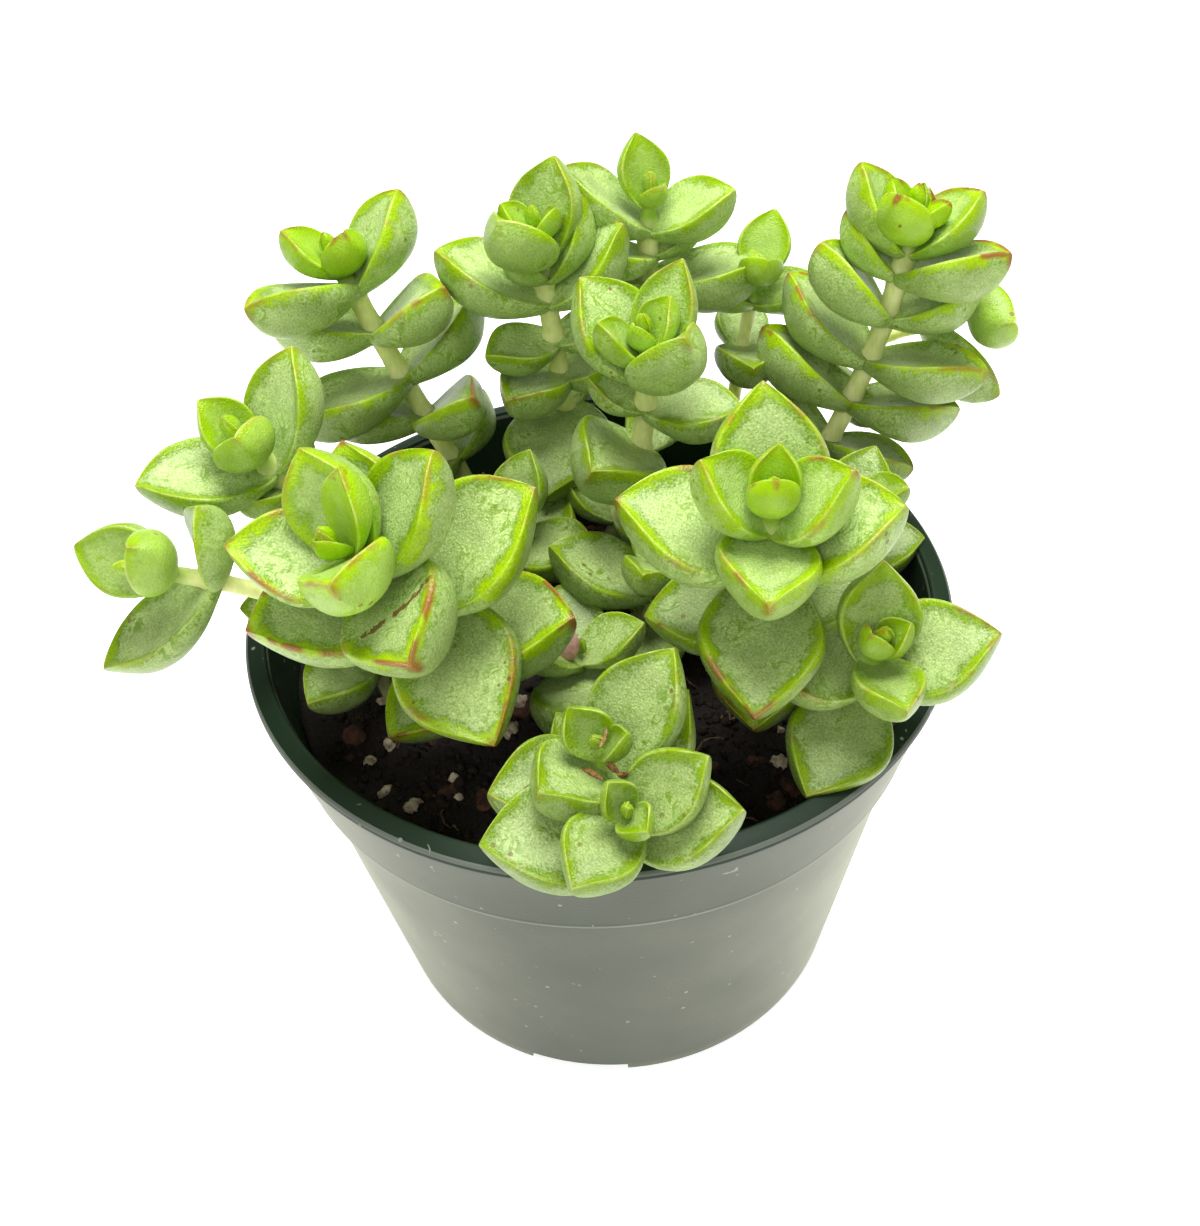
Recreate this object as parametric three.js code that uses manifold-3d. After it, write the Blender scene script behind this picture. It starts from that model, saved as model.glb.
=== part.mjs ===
// Potted rosary vine: a clump of stacked, opposite succulent leaves in a round nursery pot.
// Millimetres, +Z up. The origin is the centre of the pot's underside; the front is -Y.

import * as THREE from 'three';
import { mergeVertices } from 'three/addons/utils/BufferGeometryUtils.js';
import Module from 'manifold-3d';

const wasm = await Module();
wasm.setup();

// Pot, a 4 1/4 inch moulded nursery pot
const POT_HEIGHT = 74;
const RIM_RADIUS = 54;
const LIP_WIDTH = 3;
const LIP_SLOPE = 0.8;
const BAND_HEIGHT = 17.8;
const BAND_FOOT_RADIUS = 50.1;
const BAND_STEP = 1.4;
const BASE_RADIUS = 39.9;
const WALL = 1.3;
const FOOT_HEIGHT = 2;
const FOOT_WIDTH = 1.8;
const CENTRE_PAD_RADIUS = 21;
const POT_SEGMENTS = 40;
const NOTCH_COUNT = 4;
const NOTCH_WIDTH = 16.5;
const NOTCH_AZIMUTH = -101.5;
const DRAIN_COUNT = 8;
const DRAIN_RADIUS = 4;
const DRAIN_CIRCLE = 30;
const DRAIN_SIDES = 10;

// Soil
const SOIL_EDGE_HEIGHT = 61.5;
const SOIL_MOUND = 2;
const SOIL_SEGMENTS = 24;

// Stems and leaves
const STEM_RADIUS = 1.6;
const STEM_SIDES = 6;
const STEM_STEPS = 6;
const BUD_SIDES = 6;
const BURIED_HEIGHT = 57;
const LEAF_RATIO = 0.8;
const LEAF_WIDEST = 0.42;
const LEAF_FOOT = 0.5;
const LEAF_POINT = 1.85;
const LEAF_THICKNESS = 0.54;
const YOUNG_THINNING = 0.012;
const OLD_THINNING = 0.02;
const OLD_LENGTH = 17;
const LEAF_CROWN = 0.25;
const YOUNG_LENGTH = 12;
const FUSED_LENGTH = 13;
const LEAF_RINGS = [-0.04, 0.28, 0.58, 0.84];
const SMALL_LEAF_RINGS = [-0.04, 0.36, 0.76];
const SMALL_LEAF_LENGTH = 12.5;
// Points round a leaf's section: share of the half width, and 1 above, 0 on the margin, -1 below
const LEAF_SECTION = [[-1, 0], [0, 1], [1, 0], [0.6, -1], [-0.6, -1]];
const SMALL_LEAF_SECTION = [[-1, 0], [0, 1], [1, 0], [0, -1]];
const GAP = 0.3;
const UP = new THREE.Vector3(0, 1, 0);

// Each shoot leans from its foot past its knee to its top. A pair of leaves sits a distance down
// from the top, and a leaf is its azimuth and opening angle in degrees, its length, and its ratio
// of width to length where that isn't the usual one. A bud is the azimuth that its two halves
// face, and its length.
const SHOOTS = [
  {
    name: 'front_left', foot: [-16, -14, 62], knee: [-20, -18, 88], top: [-31, -30, 111],
    bud: [30, 4],
    pairs: [
      [39, [-137, 92, 16], [40, 80, 15]],
      [31, [-14, 84, 20, 0.86], [165, 75, 16]],
      [23, [-66, 100, 22], [110, 70, 18]],
      [17, [20, 88, 22], [-157, 68, 21]],
      [12, [90, 57, 18], [-68, 76, 17, 0.95]],
      [8, [33, 70, 18], [179, 58, 18, 0.72]],
      [5, [98, 50, 15], [-72, 48, 13, 0.95]],
      [3, [55, 46, 12, 0.6], [-110, 22, 7, 0.6]],
    ],
  },
  {
    name: 'front_right', foot: [25, -16, 62], knee: [23, -19, 86], top: [22, -28, 112],
    bud: [5, 4],
    pairs: [
      [33, [-106, 98, 15, 0.95], [75, 75, 15]],
      [26, [178, 88, 17], [0, 75, 17]],
      [20, [-104, 92, 21], [80, 70, 17]],
      [12, [168, 75, 21], [-6, 62, 19]],
      [8, [84, 50, 19], [-102, 74, 14, 0.95]],
      [6, [158, 47, 14], [-3, 48, 14]],
      [3, [78, 38, 9, 0.75], [-103, 18, 9, 0.75]],
    ],
  },
  {
    name: 'right_rim', foot: [35, -24, 62], knee: [35, -28, 76], top: [36, -33, 91],
    bud: [90, 4],
    pairs: [
      [14, [-118, 92, 18], [85, 62, 16]],
      [8, [178, 80, 16], [4, 66, 18]],
      [5, [80, 44, 14], [-80, 66, 12]],
      [2, [-150, 26, 7], [10, 35, 7]],
    ],
  },
  {
    name: 'front_middle', foot: [1, -37, 62], knee: [1, -41, 75], top: [-1, -45, 88],
    bud: [110, 3],
    pairs: [
      [17, [125, 75, 14], [-60, 85, 13]],
      [12, [-172, 70, 17, 0.85], [40, 74, 16]],
      [6, [-140, 56, 13, 0.95], [47, 60, 18, 0.7]],
      [2, [122, 44, 8, 0.85], [-12, 46, 7, 0.7]],
    ],
  },
  {
    name: 'front_rim', foot: [3, -43, 62], knee: [2, -48, 74], top: [2, -54, 86],
    bud: [0, 3],
    pairs: [
      [9, [-6, 62, 17, 0.72], [-171, 80, 19]],
      [4, [27, 60, 14, 0.72], [-131, 66, 13, 0.82]],
      [1, [130, 45, 6, 0.9], [-55, 48, 6, 0.9]],
    ],
  },
  {
    name: 'back_left', foot: [-17, 30, 62], knee: [-29, 34, 90], top: [-37, 35, 114],
    bud: [120, 4],
    pairs: [
      [40, [40, 68, 13], [-125, 78, 12]],
      [31, [-42, 76, 17, 0.75], [-175, 58, 19]],
      [23, [-152, 80, 20], [25, 78, 18]],
      [14, [-20, 76, 17], [-178, 66, 17]],
      [6, [20, 57, 17], [-139, 69, 18]],
      [3, [172, 36, 11], [-41, 48, 10]],
    ],
  },
  {
    name: 'left', foot: [-28, 6, 62], knee: [-38, 0, 88], top: [-46, -6, 110],
    bud: [30, 5],
    pairs: [
      [24, [-10, 80, 12], [150, 80, 10]],
      [11, [-125, 62, 9], [50, 65, 9]],
      [7, [52, 60, 17, 0.76], [-160, 63, 18, 0.72]],
      [3, [141, 38, 10], [-60, 38, 10, 0.9]],
    ],
  },
  {
    name: 'back_right', foot: [32, 28, 62], knee: [48, 30, 88], top: [51, 31, 117],
    bud: [50, 5],
    pairs: [
      [41, [-30, 78, 15], [165, 80, 13]],
      [33, [163, 78, 19], [-12, 76, 18]],
      [25, [150, 76, 19], [-27, 76, 19, 0.76]],
      [17, [-177, 58, 17], [0, 66, 16]],
      [10, [-27, 66, 17], [150, 60, 13]],
      [6, [146, 51, 15], [8, 48, 14]],
      [4, [-134, 44, 11, 0.85], [60, 34, 8]],
      [2, [150, 46, 8], [-25, 50, 7]],
    ],
  },
  {
    name: 'middle', foot: [2, 22, 62], knee: [11, 17, 90], top: [9, 12, 111],
    bud: [50, 4],
    pairs: [
      [41, [-30, 85, 15], [150, 80, 12]],
      [24, [-130, 66, 17, 0.95], [60, 80, 12]],
      [15, [-12, 88, 15], [165, 70, 10]],
      [8, [135, 52, 17], [-47, 38, 15, 0.88]],
      [5, [50, 52, 15, 0.66], [-172, 45, 11, 0.7]],
      [3, [30, 38, 9], [-140, 26, 6]],
    ],
  },
  {
    name: 'back_middle', foot: [-2, 42, 62], knee: [-4, 36, 92], top: [-6, 34, 117],
    bud: [50, 4],
    pairs: [
      [36, [-98, 98, 20, 0.95], [85, 80, 14]],
      [28, [-128, 74, 15], [-15, 76, 14]],
      [21, [-150, 80, 13], [0, 80, 12]],
      [13, [174, 64, 19], [10, 58, 17]],
      [9, [30, 45, 14], [-150, 45, 9]],
      [5, [60, 36, 15], [-128, 38, 13, 0.95]],
      [2, [170, 43, 8], [-15, 40, 7]],
    ],
  },
  {
    name: 'back', foot: [11, 43, 62], knee: [11, 46, 92], top: [12, 43, 117],
    bud: [20, 4],
    pairs: [
      [26, [80, 80, 14], [-100, 80, 14]],
      [16, [-14, 83, 20], [172, 77, 18]],
      [11, [45, 74, 13], [-140, 72, 12]],
      [6, [176, 62, 17], [-2, 68, 15]],
      [2, [108, 34, 11], [-60, 40, 6]],
    ],
  },
];

// Short side shoots, whose few small leaves are one growth with the stem
const SPROUTS = [
  {
    name: 'left_outer', foot: [-28, -2, 66], knee: [-42, -17, 93], top: [-59, -20, 100],
    bud: [90, 4],
    pairs: [
      [26, [178, 60, 11], [10, 80, 12]],
      [9, [23, 62, 14, 0.72], [-146, 72, 20, 0.62]],
      [3, [133, 33, 13], [-10, 60, 11]],
    ],
  },
  {
    name: 'right_outer', foot: [21, 29, 62], knee: [31, 43, 89], top: [67, 38, 95],
    bud: [0, 3],
    pairs: [
      [27, [-32, 80, 14], [150, 70, 10]],
      [10, [-60, 62, 17], [100, 60, 13]],
      [2, [20, 60, 10], [-150, 75, 13]],
    ],
  },
  {
    name: 'back_small', foot: [23, 38, 62], knee: [27, 45, 84], top: [29, 42, 102],
    bud: [0, 3],
    pairs: [
      [14, [-90, 80, 14], [90, 80, 12]],
      [5, [10, 75, 12], [-170, 70, 11]],
      [0, [70, 50, 11], [-95, 45, 9]],
    ],
  },
  {
    name: 'centre_low', foot: [-4, -14, 62], knee: [-4, -15, 68], top: [-3, -16, 76],
    bud: [40, 3],
    pairs: [
      [5, [-80, 70, 18, 0.95], [100, 80, 15]],
      [1, [10, 60, 11], [-170, 60, 12]],
    ],
  },
  {
    name: 'left_low', foot: [-33, -9, 62], knee: [-34, -10, 70], top: [-34, -12, 78],
    bud: [60, 3],
    pairs: [
      [4, [-128, 78, 14], [50, 80, 12]],
      [1, [-35, 60, 10], [145, 50, 9]],
    ],
  },
  {
    name: 'right_low', foot: [38, 8, 62], knee: [38, 6, 74], top: [39, 3, 86],
    bud: [80, 3],
    pairs: [
      [14, [0, 85, 14], [180, 85, 13]],
      [6, [60, 70, 13], [-120, 70, 13]],
      [1, [-20, 55, 10], [160, 55, 10]],
    ],
  },
  {
    name: 'centre', foot: [8, -2, 62], knee: [8, -2, 72], top: [9, -3, 82],
    bud: [20, 4],
    pairs: [
      [13, [-100, 84, 15], [80, 82, 15]],
      [7, [165, 80, 17], [-15, 80, 15]],
      [2, [75, 55, 12], [-105, 55, 11]],
    ],
  },
  {
    name: 'hidden_middle', foot: [-11, 12, 62], knee: [-12, 11, 72], top: [-13, 9, 82],
    bud: [60, 4],
    pairs: [
      [13, [-120, 84, 16], [60, 84, 15]],
      [7, [150, 80, 15], [-30, 84, 15]],
      [2, [60, 55, 12], [-120, 50, 11]],
    ],
  },
];

const part = new THREE.Group();

function addMesh(name, geometry, color, roughness) {
  const mesh = new THREE.Mesh(
    geometry,
    new THREE.MeshStandardMaterial({ color, roughness, metalness: 0 }),
  );
  mesh.name = name;
  part.add(mesh);
}

// Solids: joining, cutting, and going back to a geometry

function solidOf(geometry) {
  const bare = geometry.clone();
  bare.deleteAttribute('normal');
  bare.deleteAttribute('uv');
  const merged = mergeVertices(bare, 1e-4);
  return new wasm.Manifold(new wasm.Mesh({
    numProp: 3,
    vertProperties: new Float32Array(merged.attributes.position.array),
    triVerts: new Uint32Array(merged.index.array),
  }));
}

function union(solids) {
  return solids.reduce((whole, solid) => whole.add(solid));
}

// A cut can leave crumbs beside the piece, so only its largest shell is kept.
function largestShell(solid) {
  const { vertProperties, triVerts } = solid.getMesh();
  const parent = Uint32Array.from({ length: vertProperties.length / 3 }, (_, i) => i);
  const find = (i) => {
    while (parent[i] !== i) {
      parent[i] = parent[parent[i]];
      i = parent[i];
    }
    return i;
  };
  for (let i = 0; i < triVerts.length; i += 3) {
    parent[find(triVerts[i])] = find(triVerts[i + 1]);
    parent[find(triVerts[i + 1])] = find(triVerts[i + 2]);
  }
  const point = (i) => new THREE.Vector3().fromArray(vertProperties, 3 * i);
  const volumes = new Map();
  for (let i = 0; i < triVerts.length; i += 3) {
    const [a, b, c] = [point(triVerts[i]), point(triVerts[i + 1]), point(triVerts[i + 2])];
    const shell = find(triVerts[i]);
    volumes.set(shell, (volumes.get(shell) ?? 0) + a.dot(b.cross(c)) / 6);
  }
  const [largest] = [...volumes].sort((a, b) => b[1] - a[1])[0];
  const index = [];
  for (let i = 0; i < triVerts.length; i += 3) {
    if (find(triVerts[i]) === largest) index.push(...triVerts.slice(i, i + 3));
  }
  const geometry = new THREE.BufferGeometry();
  geometry.setAttribute('position', new THREE.BufferAttribute(vertProperties, 3));
  geometry.setIndex(index);
  geometry.computeVertexNormals();
  return geometry;
}

// Pot and soil

function lathe(profile, segments) {
  const points = profile.map(([radius, height]) => new THREE.Vector2(radius, height));
  return new THREE.LatheGeometry(points, segments).rotateX(Math.PI / 2);
}

function potInnerRadius(height) {
  const foot = BASE_RADIUS - WALL;
  const bandFoot = BAND_FOOT_RADIUS - BAND_STEP - WALL;
  const bandHeight = POT_HEIGHT - BAND_HEIGHT;
  if (height < bandHeight) return THREE.MathUtils.lerp(foot, bandFoot, height / bandHeight);
  const rise = (height - bandHeight) / BAND_HEIGHT;
  return THREE.MathUtils.lerp(bandFoot, RIM_RADIUS - LIP_WIDTH, rise);
}

function potSolid() {
  const bandFoot = POT_HEIGHT - BAND_HEIGHT;
  const bodyTop = BAND_FOOT_RADIUS - BAND_STEP;
  const floorTop = FOOT_HEIGHT + WALL;
  const blank = solidOf(lathe([
    [0, 0],
    [CENTRE_PAD_RADIUS, 0],
    [CENTRE_PAD_RADIUS + FOOT_HEIGHT, FOOT_HEIGHT],
    [BASE_RADIUS - FOOT_WIDTH, FOOT_HEIGHT],
    [BASE_RADIUS - FOOT_WIDTH, 0],
    [BASE_RADIUS, 0],
    [bodyTop, bandFoot],
    [BAND_FOOT_RADIUS, bandFoot],
    [RIM_RADIUS - 0.25, POT_HEIGHT - LIP_SLOPE - 0.6],
    [RIM_RADIUS, POT_HEIGHT - LIP_SLOPE - 0.3],
    [RIM_RADIUS - 0.3, POT_HEIGHT - LIP_SLOPE],
    [RIM_RADIUS - LIP_WIDTH, POT_HEIGHT],
    [potInnerRadius(bandFoot), bandFoot],
    [potInnerRadius(floorTop), floorTop],
    [CENTRE_PAD_RADIUS + FOOT_HEIGHT - WALL / 2, floorTop],
    [CENTRE_PAD_RADIUS - WALL / 2, WALL],
    [0, WALL],
  ], POT_SEGMENTS));
  const cuts = [];
  for (let i = 0; i < NOTCH_COUNT; i += 1) {
    const notch = new THREE.BoxGeometry(2 * (FOOT_WIDTH + 1), NOTCH_WIDTH, 2 * FOOT_HEIGHT);
    notch.translate(BASE_RADIUS - FOOT_WIDTH / 2, 0, 0);
    notch.rotateZ(THREE.MathUtils.degToRad(NOTCH_AZIMUTH + i * 360 / NOTCH_COUNT));
    cuts.push(solidOf(notch));
  }
  for (let i = 0; i < DRAIN_COUNT; i += 1) {
    const drain = new THREE.CylinderGeometry(DRAIN_RADIUS, DRAIN_RADIUS, 4 * WALL, DRAIN_SIDES);
    drain.rotateX(Math.PI / 2).translate(DRAIN_CIRCLE, 0, floorTop);
    drain.rotateZ(THREE.MathUtils.degToRad(NOTCH_AZIMUTH + i * 360 / DRAIN_COUNT));
    cuts.push(solidOf(drain));
  }
  return cuts.reduce((pot, cut) => pot.subtract(cut), blank);
}

function soilHeight(radius) {
  const share = radius / potInnerRadius(SOIL_EDGE_HEIGHT);
  return SOIL_EDGE_HEIGHT + SOIL_MOUND * (1 - share * share);
}

function soilSolid() {
  const bandFoot = POT_HEIGHT - BAND_HEIGHT;
  const floorTop = FOOT_HEIGHT + WALL + GAP;
  const padTop = WALL + GAP;
  const edge = potInnerRadius(SOIL_EDGE_HEIGHT) - GAP;
  const mound = [edge, edge * 0.7, edge * 0.35, 0];
  return solidOf(lathe([
    [0, padTop],
    [CENTRE_PAD_RADIUS - WALL, padTop],
    [CENTRE_PAD_RADIUS - WALL + FOOT_HEIGHT, floorTop],
    [potInnerRadius(floorTop) - GAP, floorTop],
    [potInnerRadius(bandFoot) - GAP, bandFoot],
    ...mound.map((radius) => [radius, soilHeight(radius)]),
  ], SOIL_SEGMENTS));
}

// Stems

function stemPath({ foot, knee, top }) {
  const [low, bend, high] = [foot, knee, top].map((p) => new THREE.Vector3(...p));
  const start = bend.clone().sub(low);
  const buried = low.clone().addScaledVector(start, (BURIED_HEIGHT - low.z) / start.z);
  const path = new THREE.CurvePath();
  path.add(new THREE.LineCurve3(buried, low));
  path.add(new THREE.QuadraticBezierCurve3(low, bend, high));
  return path;
}

function stemSolid(path, grow = 0) {
  const radius = STEM_RADIUS + grow;
  const section = new THREE.Shape();
  for (let i = 0; i < STEM_SIDES; i += 1) {
    const angle = (i / STEM_SIDES) * 2 * Math.PI;
    const move = i === 0 ? 'moveTo' : 'lineTo';
    section[move](radius * Math.cos(angle), radius * Math.sin(angle));
  }
  const tube = new THREE.ExtrudeGeometry(section, {
    steps: STEM_STEPS,
    extrudePath: path,
    bevelEnabled: false,
  });
  return solidOf(tube);
}

function stemNode(path, distance) {
  const length = path.getLength();
  const place = 1 - distance / length;
  return { root: path.getPointAt(place), axis: path.getTangentAt(place) };
}

// Leaves: ovate, pointed, flat to slightly hollow above and bulging below

function leafHalfWidth(t) {
  if (t < LEAF_WIDEST) {
    return LEAF_FOOT + (1 - LEAF_FOOT) * Math.sin((Math.PI / 2) * (Math.max(t, 0) / LEAF_WIDEST));
  }
  return 1 - ((t - LEAF_WIDEST) / (1 - LEAF_WIDEST)) ** LEAF_POINT;
}

function leafDepth(t) {
  const share = Math.max(t, 0);
  return (0.36 + 0.64 * Math.sin(Math.PI * share ** 0.75)) * Math.max(1 - share ** 6, 0) ** 0.5;
}

function leafSolid({ root, axis }, [azimuth, opening, length, ratio = LEAF_RATIO], grow = 0) {
  const youth = THREE.MathUtils.clamp((YOUNG_LENGTH - length) / 8, 0, 1);
  const thickness = LEAF_THICKNESS - YOUNG_THINNING * Math.max(YOUNG_LENGTH - length, 0)
    - OLD_THINNING * Math.max(length - OLD_LENGTH, 0);
  const cup = 0.08 + 0.1 * youth;
  const trough = 0.1 + 0.25 * youth;
  const turn = THREE.MathUtils.degToRad(azimuth);
  const open = THREE.MathUtils.degToRad(opening);
  const east = new THREE.Vector3(1, 0, 0).addScaledVector(axis, -axis.x).normalize();
  const north = new THREE.Vector3().crossVectors(axis, east);
  const outward = east.multiplyScalar(Math.cos(turn)).addScaledVector(north, Math.sin(turn));
  const along = axis.clone().multiplyScalar(Math.cos(open))
    .addScaledVector(outward, Math.sin(open));
  const up = axis.clone().multiplyScalar(Math.sin(open))
    .addScaledVector(outward, -Math.cos(open));
  const across = new THREE.Vector3().crossVectors(up, along);

  const vertices = [];
  const place = (distance, side, height) => {
    const point = root.clone().addScaledVector(along, distance)
      .addScaledVector(across, side).addScaledVector(up, height);
    vertices.push(...point.toArray());
  };
  const isSmall = length < SMALL_LEAF_LENGTH;
  const section = isSmall ? SMALL_LEAF_SECTION : LEAF_SECTION;
  const rings = isSmall ? SMALL_LEAF_RINGS : LEAF_RINGS;
  for (const t of rings) {
    const half = (length * ratio / 2) * leafHalfWidth(t);
    const depth = length * ratio * thickness * leafDepth(t);
    for (const [q, face] of section) {
      const middle = length * cup * t * t + half * trough * q * q;
      const crown = (depth * LEAF_CROWN + grow) * (1 - q * q);
      const belly = (depth * (1 - LEAF_CROWN) + grow) * (1 - q * q) ** 0.6;
      const rise = face > 0 ? crown : -belly;
      const back = t < 0 ? grow : 0;
      place(length * t - back, (half + grow) * q, middle + (face === 0 ? 0 : rise));
    }
  }
  place(length + grow, 0, length * cup);
  const index = [];
  const sides = section.length;
  for (let i = 1; i < sides - 1; i += 1) index.push(0, i, i + 1);
  for (let ring = 0; ring < rings.length - 1; ring += 1) {
    for (let i = 0; i < sides; i += 1) {
      const [a, b] = [ring * sides + i, ring * sides + (i + 1) % sides];
      index.push(a, a + sides, b, b, a + sides, b + sides);
    }
  }
  const last = (rings.length - 1) * sides;
  for (let i = 0; i < sides; i += 1) index.push(last + i, rings.length * sides, last + (i + 1) % sides);
  return new wasm.Manifold(new wasm.Mesh({
    numProp: 3,
    vertProperties: new Float32Array(vertices),
    triVerts: new Uint32Array(index),
  }));
}

// Everything grown so far, a little larger than it is, for the next piece to be cut back from
const grownPieces = [];

function boxesMeet(a, b) {
  const [p, q] = [a.boundingBox(), b.boundingBox()];
  return [0, 1, 2].every((i) => p.min[i] < q.max[i] && q.min[i] < p.max[i]);
}

function cutBack(solid, ownStem = null) {
  return grownPieces
    .filter((grown) => grown !== ownStem && boxesMeet(solid, grown))
    .reduce((left, grown) => left.subtract(grown), solid);
}

function pairOf(path, [distance, ...leaves], grow = 0) {
  const node = stemNode(path, distance);
  return union(leaves.map((leaf) => leafSolid(node, leaf, grow)));
}

// The closed bud at a shoot's top, two leaves that haven't parted yet
function budSolid(path, [azimuth, length]) {
  const { root, axis } = stemNode(path, 0);
  const outline = [[0, -0.3], [0.34, -0.1], [0.42, 0.35], [0.26, 0.75], [0, 1]];
  const points = outline.map(([x, y]) => new THREE.Vector2(x * length, y * length));
  const bud = new THREE.LatheGeometry(points, BUD_SIDES);
  bud.rotateY(THREE.MathUtils.degToRad(azimuth));
  bud.applyQuaternion(new THREE.Quaternion().setFromUnitVectors(UP, axis));
  bud.translate(root.x, root.y, root.z);
  return solidOf(bud);
}

const isFused = ([, a, b]) => Math.min(a[2], b[2]) < FUSED_LENGTH;

function shootOf(sizes) {
  const path = stemPath(sizes);
  return { ...sizes, path, clearance: stemSolid(path, GAP) };
}

// The stem with the small leaves and the bud that are one growth with it
function stemWithLeaves({ path, clearance, bud }, pairs) {
  const leaves = pairs.map((pair) => cutBack(pairOf(path, pair), clearance));
  leaves.push(cutBack(budSolid(path, bud), clearance));
  grownPieces.push(...pairs.map((pair) => pairOf(path, pair, GAP)));
  return largestShell(union([stemSolid(path), ...leaves]));
}

const shoots = SHOOTS.map(shootOf);
const sprouts = SPROUTS.map(shootOf);
const clearances = [...shoots, ...sprouts].map((shoot) => shoot.clearance);
const pot = potSolid();
const soil = clearances.reduce((left, stem) => left.subtract(stem), soilSolid());
grownPieces.push(pot, soil, ...clearances);

addMesh('pot', largestShell(pot), 0x7f8778, 0.45);
addMesh('soil', largestShell(soil), 0x2b211a, 0.95);

for (const { name, path, pairs } of shoots) {
  pairs.filter((pair) => !isFused(pair)).forEach((pair, i) => {
    addMesh(`leaf_pair_${name}_${i + 1}`, largestShell(cutBack(pairOf(path, pair))), 0x8aa860, 0.5);
    grownPieces.push(pairOf(path, pair, GAP));
  });
}
for (const shoot of shoots) {
  addMesh(`stem_${shoot.name}`, stemWithLeaves(shoot, shoot.pairs.filter(isFused)), 0xbcc98a, 0.5);
}
for (const sprout of sprouts) {
  addMesh(`sprout_${sprout.name}`, stemWithLeaves(sprout, sprout.pairs), 0x97b45c, 0.5);
}

export default part;
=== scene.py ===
import math
import random
from collections import namedtuple
from functools import partial

import bpy
from bpy.props import FloatProperty, FloatVectorProperty, IntProperty, PointerProperty
from mathutils import Matrix, Quaternion, Vector


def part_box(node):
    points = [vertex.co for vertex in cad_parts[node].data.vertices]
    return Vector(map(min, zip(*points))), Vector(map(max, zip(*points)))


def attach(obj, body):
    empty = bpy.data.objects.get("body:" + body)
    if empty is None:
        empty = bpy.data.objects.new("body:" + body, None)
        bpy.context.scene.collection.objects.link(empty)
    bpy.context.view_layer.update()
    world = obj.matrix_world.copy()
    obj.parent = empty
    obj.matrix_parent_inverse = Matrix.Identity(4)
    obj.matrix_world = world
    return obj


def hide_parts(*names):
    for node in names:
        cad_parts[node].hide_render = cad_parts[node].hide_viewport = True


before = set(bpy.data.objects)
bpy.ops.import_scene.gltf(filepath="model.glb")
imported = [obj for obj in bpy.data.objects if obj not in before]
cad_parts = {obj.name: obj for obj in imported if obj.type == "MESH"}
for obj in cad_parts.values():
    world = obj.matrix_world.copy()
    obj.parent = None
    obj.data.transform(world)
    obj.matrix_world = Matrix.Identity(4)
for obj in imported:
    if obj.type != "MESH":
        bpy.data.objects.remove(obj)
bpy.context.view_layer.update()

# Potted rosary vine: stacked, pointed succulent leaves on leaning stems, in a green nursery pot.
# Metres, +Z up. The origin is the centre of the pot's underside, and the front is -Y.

bl_info = {
    "name": "Potted Rosary Vine",
    "version": (1, 0, 0),
    "blender": (4, 5, 0),
    "location": "View3D > Sidebar > Rosary Vine",
    "description": "Grows a potted Crassula rupestris: leaves, stems, soil and nursery pot",
    "category": "Object",
}

MM = 0.001
BODY = "root"
POT_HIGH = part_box("pot")[1]
SOIL_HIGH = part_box("soil")[1]

# Node kinds that the trees use most
MATH = "ShaderNodeMath"
VECTOR = "ShaderNodeVectorMath"
NOISE = "ShaderNodeTexNoise"
CELLS = "ShaderNodeTexVoronoi"
RANGE = "ShaderNodeMapRange"
CURVE = "ShaderNodeFloatCurve"
ATTRIBUTE = "ShaderNodeAttribute"
STORE = "GeometryNodeStoreNamedAttribute"
NAMED = "GeometryNodeInputNamedAttribute"
RANDOM = "FunctionNodeRandomValue"
MOVE = "GeometryNodeSetPosition"
REALIZE = "GeometryNodeRealizeInstances"
SPREAD = "GeometryNodeInstanceOnPoints"
STREW = "GeometryNodeDistributePointsOnFaces"

# What the signs in a line of sums stand for. From and over take a value from one range to 0 to 1,
# or to the range after as: from eases in and out, and over goes straight.
SIGNS = {
    "*": "MULTIPLY", "+": "ADD", "-": "SUBTRACT", ">": "GREATER_THAN", "<": "LESS_THAN",
    "min": "MINIMUM", "max": "MAXIMUM", "power": "POWER", "sqrt": "SQRT", "absolute": "ABSOLUTE",
    "* +": "MULTIPLY_ADD", "near within": "COMPARE", "dot": "DOT_PRODUCT", "magnitude": "LENGTH",
    "normalized": "NORMALIZE", "scaled": "SCALE", "from to": "SMOOTHSTEP",
    "from to as to": "SMOOTHSTEP", "over to": "LINEAR", "over to as to": "LINEAR",
}
# Vectors that the lines of sums call by name
WAYS = {
    "east": (1, 0, 0), "north": (0, 1, 0), "upright": (0, 0, 1), "flatwise": (1, 1, 0),
    "mid": (0.5, 0.5, 0.5),
}

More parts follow.
